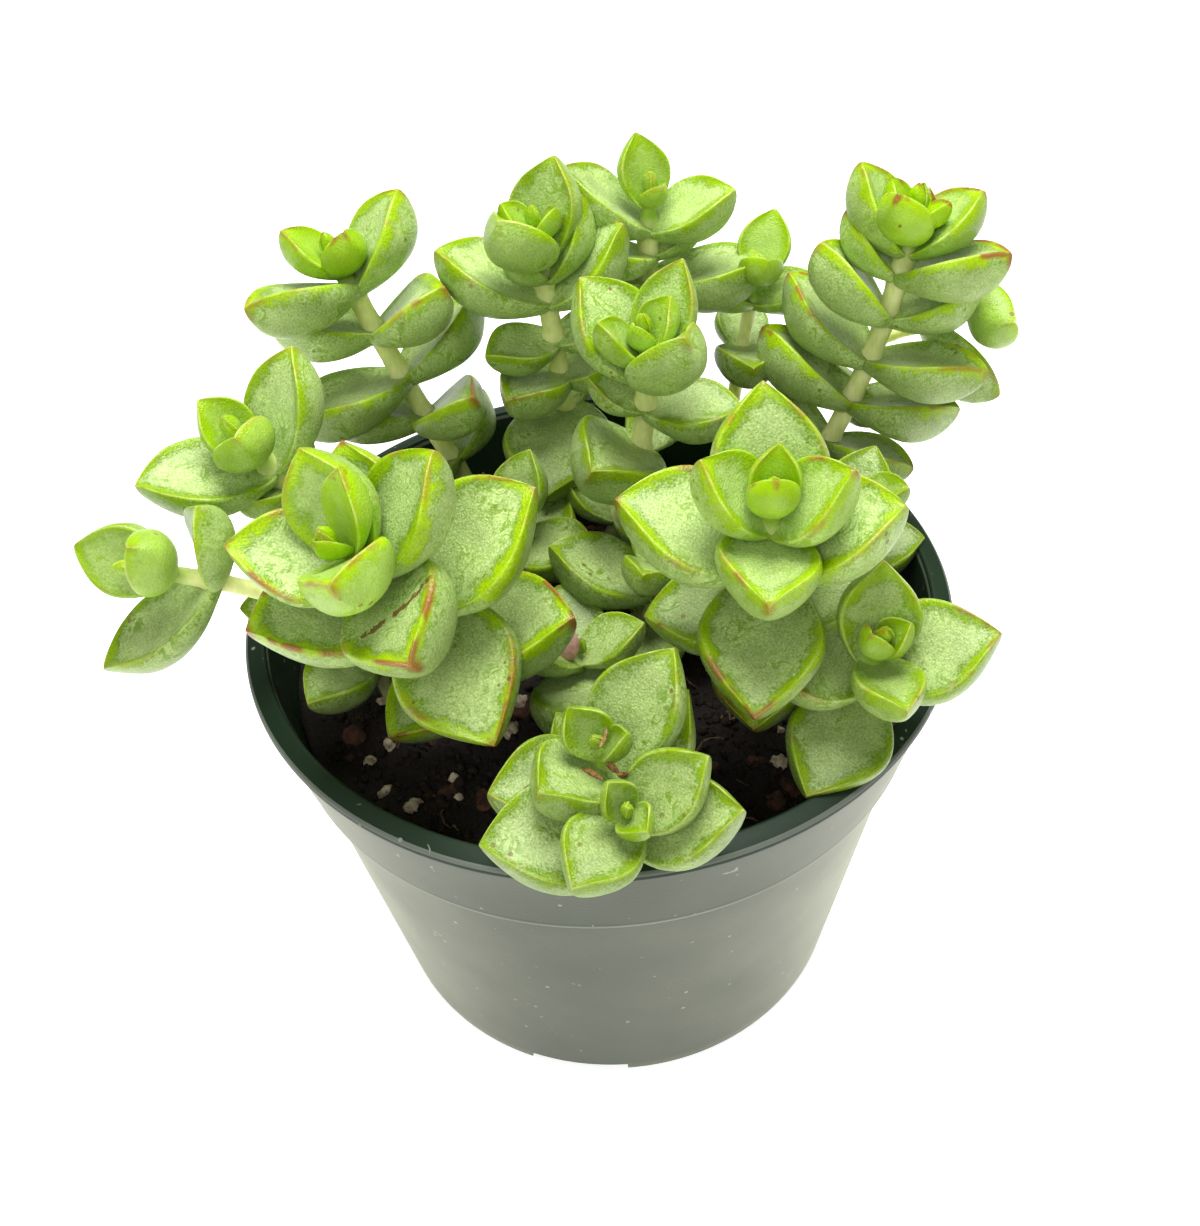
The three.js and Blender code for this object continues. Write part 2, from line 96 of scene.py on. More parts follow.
# Each shoot leans along its path from its foot past its knee to its top, in millimetres. A bud is
# the azimuth that its two halves face, and its length. Blush is how red the tips and edges are. A
# pair of leaves sits a distance down from the top, and a leaf is its azimuth and opening angle in
# degrees, its length, its ratio of width to length where that isn't the usual one, and 1 if a scar
# crosses it.
Shoot = namedtuple("Shoot", "path bud blush pairs")
SHOOTS = {
    "front_left": Shoot(((-16, -14, 62), (-20, -18, 88), (-31, -30, 111)), (30, 4), 0.9, (
        (39, (-137, 92, 16), (40, 80, 15)),
        (31, (-14, 84, 20, 0.86), (165, 75, 16)),
        (23, (-66, 100, 22), (110, 70, 18)),
        (17, (20, 88, 22), (-157, 68, 21)),
        (12, (90, 57, 18), (-68, 76, 17, 0.95, 1.0)),
        (8, (33, 70, 18), (179, 58, 18, 0.72)),
        (5, (98, 50, 15), (-72, 48, 13, 0.95)),
        (3, (55, 46, 12, 0.6), (-110, 22, 7, 0.6)),
    )),
    "front_right": Shoot(((25, -16, 62), (23, -19, 86), (22, -28, 112)), (5, 4), 0.6, (
        (33, (-106, 98, 15, 0.95), (75, 75, 15)),
        (26, (178, 88, 17), (0, 75, 17)),
        (20, (-104, 92, 21), (80, 70, 17)),
        (12, (168, 75, 21), (-6, 62, 19)),
        (8, (84, 50, 19), (-102, 74, 14, 0.95)),
        (6, (158, 47, 14), (-3, 48, 14)),
        (3, (78, 38, 9, 0.75), (-103, 18, 9, 0.75)),
    )),
    "right_rim": Shoot(((35, -24, 62), (35, -28, 76), (36, -33, 91)), (90, 4), 0.45, (
        (14, (-118, 92, 18), (85, 62, 16)),
        (8, (178, 80, 16), (4, 66, 18)),
        (5, (80, 44, 14), (-80, 66, 12)),
        (2, (-150, 26, 7), (10, 35, 7)),
    )),
    "front_middle": Shoot(((1, -37, 62), (1, -41, 75), (-1, -45, 88)), (110, 3), 0.15, (
        (17, (125, 75, 14), (-60, 85, 13)),
        (12, (-172, 70, 17, 0.85), (40, 74, 16)),
        (6, (-140, 56, 13, 0.95), (47, 60, 18, 0.7)),
        (2, (122, 44, 8, 0.85), (-12, 46, 7, 0.7)),
    )),
    "front_rim": Shoot(((3, -43, 62), (2, -48, 74), (2, -54, 86)), (0, 3), 0.1, (
        (9, (-6, 62, 17, 0.72), (-171, 80, 19)),
        (4, (27, 60, 14, 0.72), (-131, 66, 13, 0.82)),
        (1, (130, 45, 6, 0.9), (-55, 48, 6, 0.9)),
    )),
    "back_left": Shoot(((-17, 30, 62), (-29, 34, 90), (-37, 35, 114)), (120, 4), 0.8, (
        (40, (40, 68, 13), (-125, 78, 12)),
        (31, (-42, 76, 17, 0.75), (-175, 58, 19)),
        (23, (-152, 80, 20), (25, 78, 18)),
        (14, (-20, 76, 17), (-178, 66, 17)),
        (6, (20, 57, 17), (-139, 69, 18)),
        (3, (172, 36, 11), (-41, 48, 10)),
    )),
    "left": Shoot(((-28, 6, 62), (-38, 0, 88), (-46, -6, 110)), (30, 5), 0.3, (
        (24, (-10, 80, 12), (150, 80, 10)),
        (11, (-125, 62, 9), (50, 65, 9)),
        (7, (52, 60, 17, 0.76), (-160, 63, 18, 0.72)),
        (3, (141, 38, 10), (-60, 38, 10, 0.9)),
    )),
    "back_right": Shoot(((32, 28, 62), (48, 30, 88), (51, 31, 117)), (50, 5), 0.9, (
        (41, (-30, 78, 15), (165, 80, 13)),
        (33, (163, 78, 19), (-12, 76, 18)),
        (25, (150, 76, 19), (-27, 76, 19, 0.76)),
        (17, (-177, 58, 17), (0, 66, 16)),
        (10, (-27, 66, 17), (150, 60, 13)),
        (6, (146, 51, 15), (8, 48, 14)),
        (4, (-134, 44, 11, 0.85), (60, 34, 8)),
        (2, (150, 46, 8), (-25, 50, 7)),
    )),
    "middle": Shoot(((2, 22, 62), (11, 17, 90), (9, 12, 111)), (50, 4), 0.3, (
        (41, (-30, 85, 15), (150, 80, 12)),
        (24, (-130, 66, 17, 0.95), (60, 80, 12)),
        (15, (-12, 88, 15), (165, 70, 10)),
        (8, (135, 52, 17), (-47, 38, 15, 0.88)),
        (5, (50, 52, 15, 0.66), (-172, 45, 11, 0.7)),
        (3, (30, 38, 9), (-140, 26, 6)),
    )),
    "back_middle": Shoot(((-2, 42, 62), (-4, 36, 92), (-6, 34, 117)), (50, 4), 0.3, (
        (36, (-98, 98, 20, 0.95), (85, 80, 14)),
        (28, (-128, 74, 15), (-15, 76, 14)),
        (21, (-150, 80, 13), (0, 80, 12)),
        (13, (174, 64, 19), (10, 58, 17)),
        (9, (30, 45, 14), (-150, 45, 9)),
        (5, (60, 36, 15), (-128, 38, 13, 0.95)),
        (2, (170, 43, 8), (-15, 40, 7)),
    )),
    "back": Shoot(((11, 43, 62), (11, 46, 92), (12, 43, 117)), (20, 4), 0.3, (
        (26, (80, 80, 14), (-100, 80, 14)),
        (16, (-14, 83, 20), (172, 77, 18)),
        (11, (45, 74, 13), (-140, 72, 12)),
        (6, (176, 62, 17), (-2, 68, 15)),
        (2, (108, 34, 11), (-60, 40, 6)),
    )),
}

# Short side shoots, whose few small leaves are one growth with the stem
SPROUTS = {
    "left_outer": Shoot(((-28, -2, 66), (-42, -17, 93), (-59, -20, 100)), (90, 4), 0.3, (
        (26, (178, 60, 11), (10, 80, 12)),
        (9, (23, 62, 14, 0.72), (-146, 72, 20, 0.62)),
        (3, (133, 33, 13), (-10, 60, 11)),
    )),
    "right_outer": Shoot(((21, 29, 62), (31, 43, 89), (67, 38, 95)), (0, 3), 0.4, (
        (27, (-32, 80, 14), (150, 70, 10)),
        (10, (-60, 62, 17), (100, 60, 13)),
        (2, (20, 60, 10), (-150, 75, 13)),
    )),
    "back_small": Shoot(((23, 38, 62), (27, 45, 84), (29, 42, 102)), (0, 3), 0.2, (
        (14, (-90, 80, 14), (90, 80, 12)),
        (5, (10, 75, 12), (-170, 70, 11)),
        (0, (70, 50, 11), (-95, 45, 9)),
    )),
    "centre_low": Shoot(((-4, -14, 62), (-4, -15, 68), (-3, -16, 76)), (40, 3), 0.1, (
        (5, (-80, 70, 18, 0.95), (100, 80, 15)),
        (1, (10, 60, 11), (-170, 60, 12)),
    )),
    "left_low": Shoot(((-33, -9, 62), (-34, -10, 70), (-34, -12, 78)), (60, 3), 0.1, (
        (4, (-128, 78, 14), (50, 80, 12)),
        (1, (-35, 60, 10), (145, 50, 9)),
    )),
    "right_low": Shoot(((38, 8, 62), (38, 6, 74), (39, 3, 86)), (80, 3), 0.2, (
        (14, (0, 85, 14), (180, 85, 13)),
        (6, (60, 70, 13), (-120, 70, 13)),
        (1, (-20, 55, 10), (160, 55, 10)),
    )),
    "centre": Shoot(((8, -2, 62), (8, -2, 72), (9, -3, 82)), (20, 4), 0.2, (
        (13, (-100, 84, 15), (80, 82, 15)),
        (7, (165, 80, 17), (-15, 80, 15)),
        (2, (75, 55, 12), (-105, 55, 11)),
    )),
    "hidden_middle": Shoot(((-11, 12, 62), (-12, 11, 72), (-13, 9, 82)), (60, 4), 0.2, (
        (13, (-120, 84, 16), (60, 84, 15)),
        (7, (150, 80, 15), (-30, 84, 15)),
        (2, (60, 55, 12), (-120, 50, 11)),
    )),
}

# Dried bits among the leaves: foot and tip, width in mm, darker and lighter colour
FORK = ("#54391f", "#9c7440")
REMAINS = {
    "dried_curl": ((-1, -46.4, 89.4), (1, -45.3, 90.6), 0.7, "#7c5c30", "#cdae72"),
    "dried_fork_left": ((1.2, -48.6, 87), (-0.2, -47.4, 88), 0.9, *FORK),
    "dried_fork_right": ((1.2, -48.6, 87), (2, -50.4, 87.6), 1.0, *FORK),
    "dried_crease": ((-0.8, -50.4, 88.2), (-3.4, -49.4, 89.6), 0.8, *FORK),
    "cut_stub": ((-5.6, -17.4, 76), (-3.4, -19.6, 80.4), 3.4, "#b5807a", "#d3a59c"),
}

LEAF_NUMBERS = (
    "length", "ratio", "thickness", "youth", "fresh", "sun", "sway", "bend", "seed", "blush", "age",
    "scar",
)
# The leaf values that the material reads, which stay on the finished mesh
PAINT_NUMBERS = ("fresh", "sun", "blush", "age", "scar")
LEAF_RATIO = 0.8
BUD_RATIO = 0.7
BUD_OPENING = 11
YOUNG_LENGTH = 12
FUSED_LENGTH = 13
# Segments and rings of a leaf's ball
FULL_LEAF = (44, 30)
SMALL_LEAF = (40, 28)
DRIED_BIT = (16, 12)
# Where the margin's ridge runs round a leaf's section, as shares of its half width and its depth
RIDGE_SIDE = 0.925
RIDGE_RISE = 0.24
# Stems go down into the soil to this height in mm, and come out of it at about the soil's top
BURIED_HEIGHT = 57
SOIL_TOP = 62 * MM
# Degrees from +X to the notch that the photo shows, a little left of the front
FIRST_NOTCH = -101.5


def linear(code):
    """Linear red, green, blue and alpha of an sRGB hex colour."""
    parts = [int(code[i : i + 2], 16) / 255 for i in (1, 3, 5)]
    return (*(c / 12.92 if c <= 0.04045 else ((c + 0.055) / 1.055) ** 2.4 for c in parts), 1.0)


def per_mm(size):
    """Scale of a pattern whose features are size millimetres wide."""
    return 1 / (size * MM)


def share(value):
    """A value held between 0 and 1."""
    return min(max(value, 0.0), 1.0)


# Sizes and colours that a user would change


def length(name, description, default):
    """A length that a user may change."""
    return FloatProperty(
        name=name, description=description, default=default, min=0.0, precision=4,
        unit="LENGTH", subtype="DISTANCE",
    )


def colour(name, description, code):
    """A colour that a user may change."""
    return FloatVectorProperty(
        name=name, description=description, default=linear(code), size=4, min=0.0, max=1.0,
        subtype="COLOR",
    )


class PotSettings(bpy.types.PropertyGroup):
    rim_radius: length("Rim radius", "Outer radius of the lip", POT_HIGH.x)
    height: length("Height", "From the foot ring to the top of the lip", POT_HIGH.z)
    wall: length("Wall", "Thickness of the moulded wall", 1.3 * MM)
    lip_width: length("Lip width", "Width of the flat top of the rim", 3 * MM)
    band_height: length("Band height", "Height of the stiffening band below the lip", 17.8 * MM)
    base_radius: length("Base radius", "Outer radius of the foot ring", 39.9 * MM)
    notch_width: length("Notch width", "Width of each drainage notch in the foot ring", 16.5 * MM)
    notch_count: IntProperty(
        name="Notches", description="Drainage notches in the foot ring", default=4, min=1
    )
    drain_count: IntProperty(
        name="Drain holes", description="Round holes in the floor of the pot", default=8, min=1
    )
    plastic: colour("Plastic", "Deep green of the moulded plastic", "#1c2d1d")
    # The outer wall's paler colour is a painted reflection of the white surroundings over the deep
    # green plastic.
    haze: colour("Haze", "Pale film of lime and scuffs on the outer wall", "#393e2b")


class SoilSettings(bpy.types.PropertyGroup):
    mound: length("Mound", "Rise of the soil from the wall to the middle", 2 * MM)
    crumb_size: length("Crumb size", "Width of the larger peat crumbs", 2.4 * MM)
    perlite_size: length("Perlite size", "Width of the larger perlite grains", 3.6 * MM)
    peat: colour("Peat", "Moist peat", "#1f1610")
    perlite: colour("Perlite", "Expanded volcanic glass, stained by the peat", "#d9cbb0")
    bark: colour("Bark", "Composted bark chips", "#5c3a28")


class StemSettings(bpy.types.PropertyGroup):
    radius: length("Radius", "Radius of a stem between two pairs of leaves", 1.6 * MM)
    side_radius: length("Side radius", "Radius of the stem of a short side shoot", 1.15 * MM)
    skin: colour("Skin", "Pale green skin of the stems", "#fcfeb4")


class LeafSettings(bpy.types.PropertyGroup):
    shoulder: FloatProperty(
        name="Shoulder", description="Height of the rounded margin, as a share of the usual one",
        default=1.0, min=0.0, max=2.0, subtype="FACTOR",
    )
    waviness: FloatProperty(
        name="Waviness", description="Unevenness of a leaf, as a share of its length",
        default=0.05, min=0.0, max=0.3, subtype="FACTOR",
    )
    tissue: colour("Tissue", "Green of the flesh under the bloom", "#688c14")
    band: colour("Band", "Translucent yellow-green window along the margin", "#a8cc00")
    bloom: colour("Bloom", "Waxy grey-green powder on the faces", "#c4d890")
    young: colour("Young green", "Flesh of the youngest leaves", "#96be04")
    blush: colour("Blush", "Red of sun-stressed tips and edges", "#8c2f28")


class StageSettings(bpy.types.PropertyGroup):
    key_power: FloatProperty(
        name="Key light", description="Power of the large soft light overhead",
        default=7.7, min=0.0, unit="POWER",
    )
    world_strength: FloatProperty(
        name="World", description="Brightness of the white surroundings", default=0.24, min=0.0
    )
    floor: colour("Floor", "White sweep under the pot", "#f4f4f2")


# Node trees


def add_node(tree, kind, inputs=(), out=0, points=(), **settings):
    """Add one node with its settings, its curve's points and its inputs; return an output."""
    node = tree.nodes.new(kind)
    for name, value in settings.items():
        setattr(node, name, value)
    if points:
        node.mapping.use_clip = False
        curve = node.mapping.curves[0].points
        for i, (x, y) in enumerate(points):
            point = curve[i] if i < 2 else curve.new(x, y)
            point.location = (x, y)
        node.mapping.update()
    for key, value in inputs.items() if isinstance(inputs, dict) else enumerate(inputs):
        if isinstance(value, bpy.types.NodeSocket):
            tree.links.new(value, node.inputs[key])
        else:
            node.inputs[key].default_value = value
    return node.outputs[out] if len(node.outputs) else node


def is_vector(value):
    """Whether a known value is a vector or the socket of one."""
    return isinstance(value, tuple) or getattr(value, "type", "") in ("VECTOR", "RGBA")


def work_out(node, known, sums):
    """Add the nodes of lines such as "high = share * tall + low", and keep what they are worth.

    A line's values are numbers and known names, with signs between or after them. Signs that stand
    together in SIGNS are one node. Others are taken from the left, one node each.
    """
    for line in sums.strip().splitlines():
        name, _, *words = line.split()
        terms = {**WAYS, **known}
        values = [terms[word] if word in terms else float(word) for word in words[::2]]
        signs = words[1::2]
        while signs:
            count = len(signs) if " ".join(signs) in SIGNS else 1
            operation = SIGNS[" ".join(signs[:count])]
            taken, values = values[: count + 1], values[count + 1 :]
            kind = VECTOR if any(is_vector(value) for value in taken) else MATH
            if operation in ("LINEAR", "SMOOTHSTEP"):
                result = node(RANGE, taken, interpolation_type=operation)
            elif operation in ("DOT_PRODUCT", "LENGTH"):
                result = node(kind, taken, out="Value", operation=operation)
            elif operation == "SCALE":
                result = node(kind, {0: taken[0], "Scale": taken[1]}, operation=operation)
            else:
                result = node(kind, taken, operation=operation)
            values, signs = [result, *values], signs[count:]
        known[name] = values[0]


def new_tree(name, inputs):
    """A geometry tree with named inputs, its function that adds a node, and its known values."""
    tree = bpy.data.node_groups.new(name, "GeometryNodeTree")
    tree.is_modifier = True
    tree.interface.new_socket("Geometry", in_out="INPUT", socket_type="NodeSocketGeometry")
    for label, kind in inputs.items():
        tree.interface.new_socket(label, in_out="INPUT", socket_type="NodeSocket" + kind)
    tree.interface.new_socket("Geometry", in_out="OUTPUT", socket_type="NodeSocketGeometry")
    given = tree.nodes.new("NodeGroupInput").outputs
    known = {socket.name.lower().replace(" ", "_"): socket for socket in given if socket.name}
    return tree, partial(add_node, tree), known


def close_tree(node, known, geometry):
    """End a tree in Realize Instances and Set Material."""
    real = node(REALIZE, {"Geometry": geometry})
    shaded = node("GeometryNodeSetShadeSmooth", {"Geometry": real})
    painted = node("GeometryNodeSetMaterial", {"Geometry": shaded, "Material": known["material"]})
    node("NodeGroupOutput", {"Geometry": painted})


def run_tree(name, mesh, tree, values):
    """Run a tree on a mesh and keep the result as a plain piece."""
    piece = bpy.data.objects.new(name, mesh)
    bpy.context.scene.collection.objects.link(piece)
    modifier = piece.modifiers.new(tree.name, "NODES")
    modifier.node_group = tree
    for item in tree.interface.items_tree:
        if item.item_type == "SOCKET" and item.in_out == "INPUT" and item.name in values:
            modifier[item.identifier] = values[item.name]
    graph = bpy.context.evaluated_depsgraph_get()
    plain = bpy.data.meshes.new_from_object(
        piece.evaluated_get(graph), preserve_all_data_layers=True, depsgraph=graph
    )
    piece.modifiers.remove(modifier)
    piece.data = plain
    plain.name = name
    bpy.data.meshes.remove(mesh)
    if not plain.polygons:
        raise RuntimeError(f"{tree.name} made nothing for {name}")
    return piece


def new_material(name, patterns):
    """A material that has only patterns, its function that adds a node, and its known values.

    A pattern is its kind, the width of its features in mm, how it is stretched along each axis,
    and its other inputs.
    """
    material = bpy.data.materials.new(name)
    material.use_nodes = True
    material.node_tree.nodes.clear()
    node = partial(add_node, material.node_tree)
    known = {"spot": node("ShaderNodeTexCoord", out="Object")}
    for label, (kind, width, stretch, inputs) in patterns.items():
        place = known["spot"]
        if stretch:
            place = node("ShaderNodeMapping", {"Vector": place, "Scale": stretch})
        known[label] = node(kind, {"Vector": place, "Scale": per_mm(width), **inputs})
    return material, node, known


def coat(node, known, paint, **coats):
    """Lay coats over a paint, each by the known share that it is named for."""
    for name, over in coats.items():
        paint = node("ShaderNodeMix", {0: known[name], 6: paint, 7: over}, out=2, data_type="RGBA")
    return paint


def close_material(node, known, paint, relief, finish):
    """End a material in its surface, with a relief: its strength, its depth in mm, its pattern.

    Its roughness is what is known as rough, and a known tone makes the paint lighter or darker.
    """
    strength, depth, pattern = relief
    bumps = node("ShaderNodeBump", {
        "Strength": strength, "Distance": depth * MM, "Height": known[pattern],
    })
    if "tone" in known:
        paint = node("ShaderNodeHueSaturation", {"Value": known["tone"], "Color": paint})
    shader = node("ShaderNodeBsdfPrincipled", {
        "Base Color": paint, "Roughness": known["rough"], "Normal": bumps, **finish,
    })
    node("ShaderNodeOutputMaterial", {"Surface": shader})


def fit(piece, slot, *nodes):
    """Ride on the one body and stand for CAD nodes. The slot is not used."""
    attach(piece, BODY)
    if nodes:
        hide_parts(*nodes)


# Leaves


def leaf_tree():
    """One leaf on each point: a ball pressed into a pointed, thick leaf with a rounded margin."""
    tree, node, known = new_tree("leaf_rule", {
        "Segments": "Int", "Rings": "Int", "Shoulder": "Float", "Waviness": "Float",
        "Material": "Material",
    })
    ball = node("GeometryNodeMeshUVSphere", (known["segments"], known["rings"], 1.0))
    place = node("GeometryNodeInputPosition")
    marked = node(STORE, {"Geometry": ball, "Name": "unit", "Value": place}, data_type="FLOAT_VECTOR")
    leaves = node(REALIZE, {
        "Geometry": node(SPREAD, {"Points": known["geometry"], "Instance": marked}),
    })
    known.update(
        place=place, ridge_side=RIDGE_SIDE, ridge_height=RIDGE_RISE, mm_in_metre=1 / MM
    )
    for name in ("unit", "along", "across", "up"):
        known[name] = node(NAMED, {"Name": name}, data_type="FLOAT_VECTOR")
    for name in ("length", "ratio", "thickness", "youth", "sway", "bend", "seed"):
        known[name] = node(NAMED, {"Name": name}, data_type="FLOAT")
    # Reach runs from the foot to the tip; side and face are the cosine and sine round the section
    work_out(node, known, """
        root = place - unit
        section = unit * flatwise normalized
        side = section dot east
        face = section dot north
        reach = unit dot upright * 0.52 + 0.48
        face_place = face * 0.5 + 0.5
    """)
    known["outline"] = node(CURVE, {"Value": known["reach"]}, points=(
        (-0.04, 0.0), (1.0, 0.0), (-0.036, 0.24), (-0.02, 0.38), (0.05, 0.57), (0.12, 0.7),
        (0.2, 0.82), (0.3, 0.93), (0.4, 0.99), (0.48, 1.0), (0.58, 0.943), (0.68, 0.823),
        (0.78, 0.631), (0.87, 0.4), (0.94, 0.198), (0.98, 0.068),
    ))
    known["depth"] = node(CURVE, {"Value": known["reach"]}, points=(
        (-0.04, 0.0), (1.0, 0.0), (-0.036, 0.2), (-0.02, 0.3), (0.08, 0.45), (0.25, 0.7),
        (0.42, 0.9), (0.58, 1.0), (0.72, 0.97), (0.85, 0.78), (0.94, 0.48), (0.98, 0.26),
    ))
    # Height of the surface over the widest line, from the keel, up the side and over the margin's
    # ridge to the hollow
    known["rise"] = node(CURVE, {"Value": known["face_place"]}, points=(
        (0.0, -0.72), (1.0, 0.2), (0.1, -0.6), (0.2, -0.45), (0.3, -0.3), (0.4, -0.15),
        (0.5, 0.0), (0.58, 0.12), (0.65, 0.215), (0.69, 0.252), (0.73, 0.262), (0.8, 0.245),
        (0.9, 0.215),
    ))
    known["lumps"] = node(NOISE, {
        "Vector": known["unit"], "W": known["seed"], "Scale": 0.9, "Detail": 1.0,
    }, out="Color", noise_dimensions="4D")
    work_out(node, known, """
        reach_squared = reach * reach
        side_squared = side * side
        width = length * ratio
        half = width * 0.5 * outline
        deep = width * thickness * depth
        cup = youth * 0.1 + 0.08
        cup_bent = cup + bend
        cup_rise = cup_bent * reach_squared
        trough = youth * 0.25 + 0.1
        trough_rise = trough * half * side_squared
        above = rise max 0.0
        below = rise min 0.0
        surface = above * shoulder + below
        surface_rise = surface * deep
        middle = length * cup_rise + trough_rise
        height = middle + surface_rise
        sway_side = sway * reach_squared * length
        shift = half * side + sway_side
        distance = length * reach
        along_part = along scaled distance
        across_part = across scaled shift
        up_part = up scaled height
        raised = along_part + across_part + up_part
        freedom = waviness * length * depth
        uneven = lumps - mid scaled freedom
        final = root + raised + uneven
        side_away = side absolute
        inward = ridge_side - side_away
        inset = inward * half
        inset_squared = inset * inset
        ridge_rise = deep * ridge_height
        from_ridge = surface_rise - ridge_rise
        rise_squared = from_ridge * from_ridge
        edge = inset_squared + rise_squared sqrt
        edge_mm = edge * mm_in_metre
    """)
    # What the material reads, stored before the points move
    for name in ("edge_mm", "face", "reach"):
        leaves = node(STORE, {"Geometry": leaves, "Name": name, "Value": known[name]})
    shaped = node(MOVE, {"Geometry": leaves, "Position": known["final"]})
    close_tree(node, known, shaped)
    return tree


def curve_points(path, step=0.4):
    """Points along a shoot from its buried end to its top, step millimetres apart or less."""
    low, bend, high = (Vector(p) for p in path)
    start = bend - low
    buried = low + start * ((BURIED_HEIGHT - low.z) / start.z)
    below, count = 20, math.ceil(((bend - low).length + (high - bend).length) / step)
    points = [buried.lerp(low, i / below) for i in range(below)]
    for i in range(count + 1):
        way = i / count
        points.append(low.lerp(bend, way).lerp(bend.lerp(high, way), way))
    return [p * MM for p in points]


def node_on(points, distance):
    """The point and direction of a stem a distance down from its top."""
    left = distance * MM
    for upper, lower in zip(points[::-1], points[-2::-1]):
        stretch = (upper - lower).length
        if left <= stretch:
            return upper.lerp(lower, left / stretch), (upper - lower).normalized()
        left -= stretch
    raise RuntimeError("a leaf sits below the foot of its stem")


def freshness(distance, size, height):
    """1 on the newest leaves at a top and 0 on full-grown ones; leaves low in the pot get less, a
    painted shade that dulls their colour by height.
    """
    near_top = share(1.12 - distance / 11)
    small = share((18 - size) / 8)
    lit = min(max((height - 76) / 16, 0.1), 1.0)
    return near_top * small * lit


def stoutness(size):
    """Thickness of a leaf as a share of its width: most in those of middling length."""
    stoutest, least, most = 0.54, 12, 17
    return stoutest - 0.012 * max(least - size, 0) - 0.02 * max(size - most, 0)


def leaf_on(points, distance, leaf, blush, chance):
    """Everything that the leaf rule needs for one leaf, as a dictionary."""
    usual = (LEAF_RATIO, 0.0)
    azimuth, opening, size, ratio, scar = (*leaf, *usual[len(leaf) - 3 :])
    root, axis = node_on(points, distance)
    turn, spread = math.radians(azimuth), math.radians(opening)
    east = (Vector((1, 0, 0)) - axis * axis.x).normalized()
    outward = east * math.cos(turn) + axis.cross(east) * math.sin(turn)
    along = axis * math.cos(spread) + outward * math.sin(spread)
    up = axis * math.sin(spread) - outward * math.cos(spread)
    # No two leaves are alike: chance turns, sways, bends, reddens and ages each one
    up.rotate(Quaternion(along, math.radians(chance.uniform(-7, 7))))
    return {
        "root": root, "along": along, "up": up, "across": up.cross(along),
        "length": size * MM, "ratio": ratio, "thickness": stoutness(size), "scar": scar, "sun": blush,
        "youth": share((YOUNG_LENGTH - size) / 8),
        "fresh": freshness(distance, size, root.z / MM) * (0.45 + 0.7 * blush),
        "sway": chance.uniform(-0.07, 0.07), "bend": chance.uniform(-0.05, 0.05),
        "seed": chance.uniform(0, 50), "blush": blush * chance.uniform(0.35, 1.15),
        "age": chance.uniform(0.0, 1.0),
    }


def leaves_on(points, pairs, blush, chance, bud=None):
    """The leaves of some pairs, and the two halves of the closed bud where there is one."""
    leaves = [(distance, leaf) for distance, *pair in pairs for leaf in pair]
    if bud:
        azimuth, size = bud
        leaves += [(0, (azimuth + turn, BUD_OPENING, size, BUD_RATIO)) for turn in (0, 180)]
    return [leaf_on(points, distance, leaf, blush, chance) for distance, leaf in leaves]


def remnant_on(foot, tip, width):
    """A dried bit from foot to tip, for the leaf rule."""
    along = Vector(tip) - Vector(foot)
    up = along.cross(Vector((0, 0, 1))).cross(along).normalized()
    return {
        **dict.fromkeys(LEAF_NUMBERS, 0.0), "root": Vector(foot) * MM, "along": along.normalized(),
        "up": up, "across": up.cross(along).normalized(), "length": along.length * MM,
        "ratio": width / along.length, "thickness": 0.6, "youth": 1.0, "sway": 0.3, "bend": 0.2,
        "seed": width,
    }


def grow_leaves(name, leaves, tree, material, fineness):
    """A piece of leaves that the leaf rule grows, one on each point of a mesh."""
    mesh = bpy.data.meshes.new(name)
    mesh.from_pydata([leaf["root"] for leaf in leaves], [], [])
    for key in ("along", "across", "up"):
        values = mesh.attributes.new(key, "FLOAT_VECTOR", "POINT").data
        values.foreach_set("vector", [c for leaf in leaves for c in leaf[key]])
    for key in LEAF_NUMBERS:
        values = mesh.attributes.new(key, "FLOAT", "POINT").data
        values.foreach_set("value", [leaf[key] for leaf in leaves])
    settings = bpy.context.scene.vine_leaves
    piece = run_tree(name, mesh, tree, {
        "Segments": fineness[0], "Rings": fineness[1], "Shoulder": settings.shoulder,
        "Waviness": settings.waviness, "Material": material,
    })
    for key in ("unit", "along", "across", "up", *LEAF_NUMBERS):
        if key not in PAINT_NUMBERS:
            piece.data.attributes.remove(piece.data.attributes[key])
    return piece


def is_fused(pair):
    """Whether a pair is so small that it is one growth with the stem."""
    return min(pair[1][2], pair[2][2]) < FUSED_LENGTH


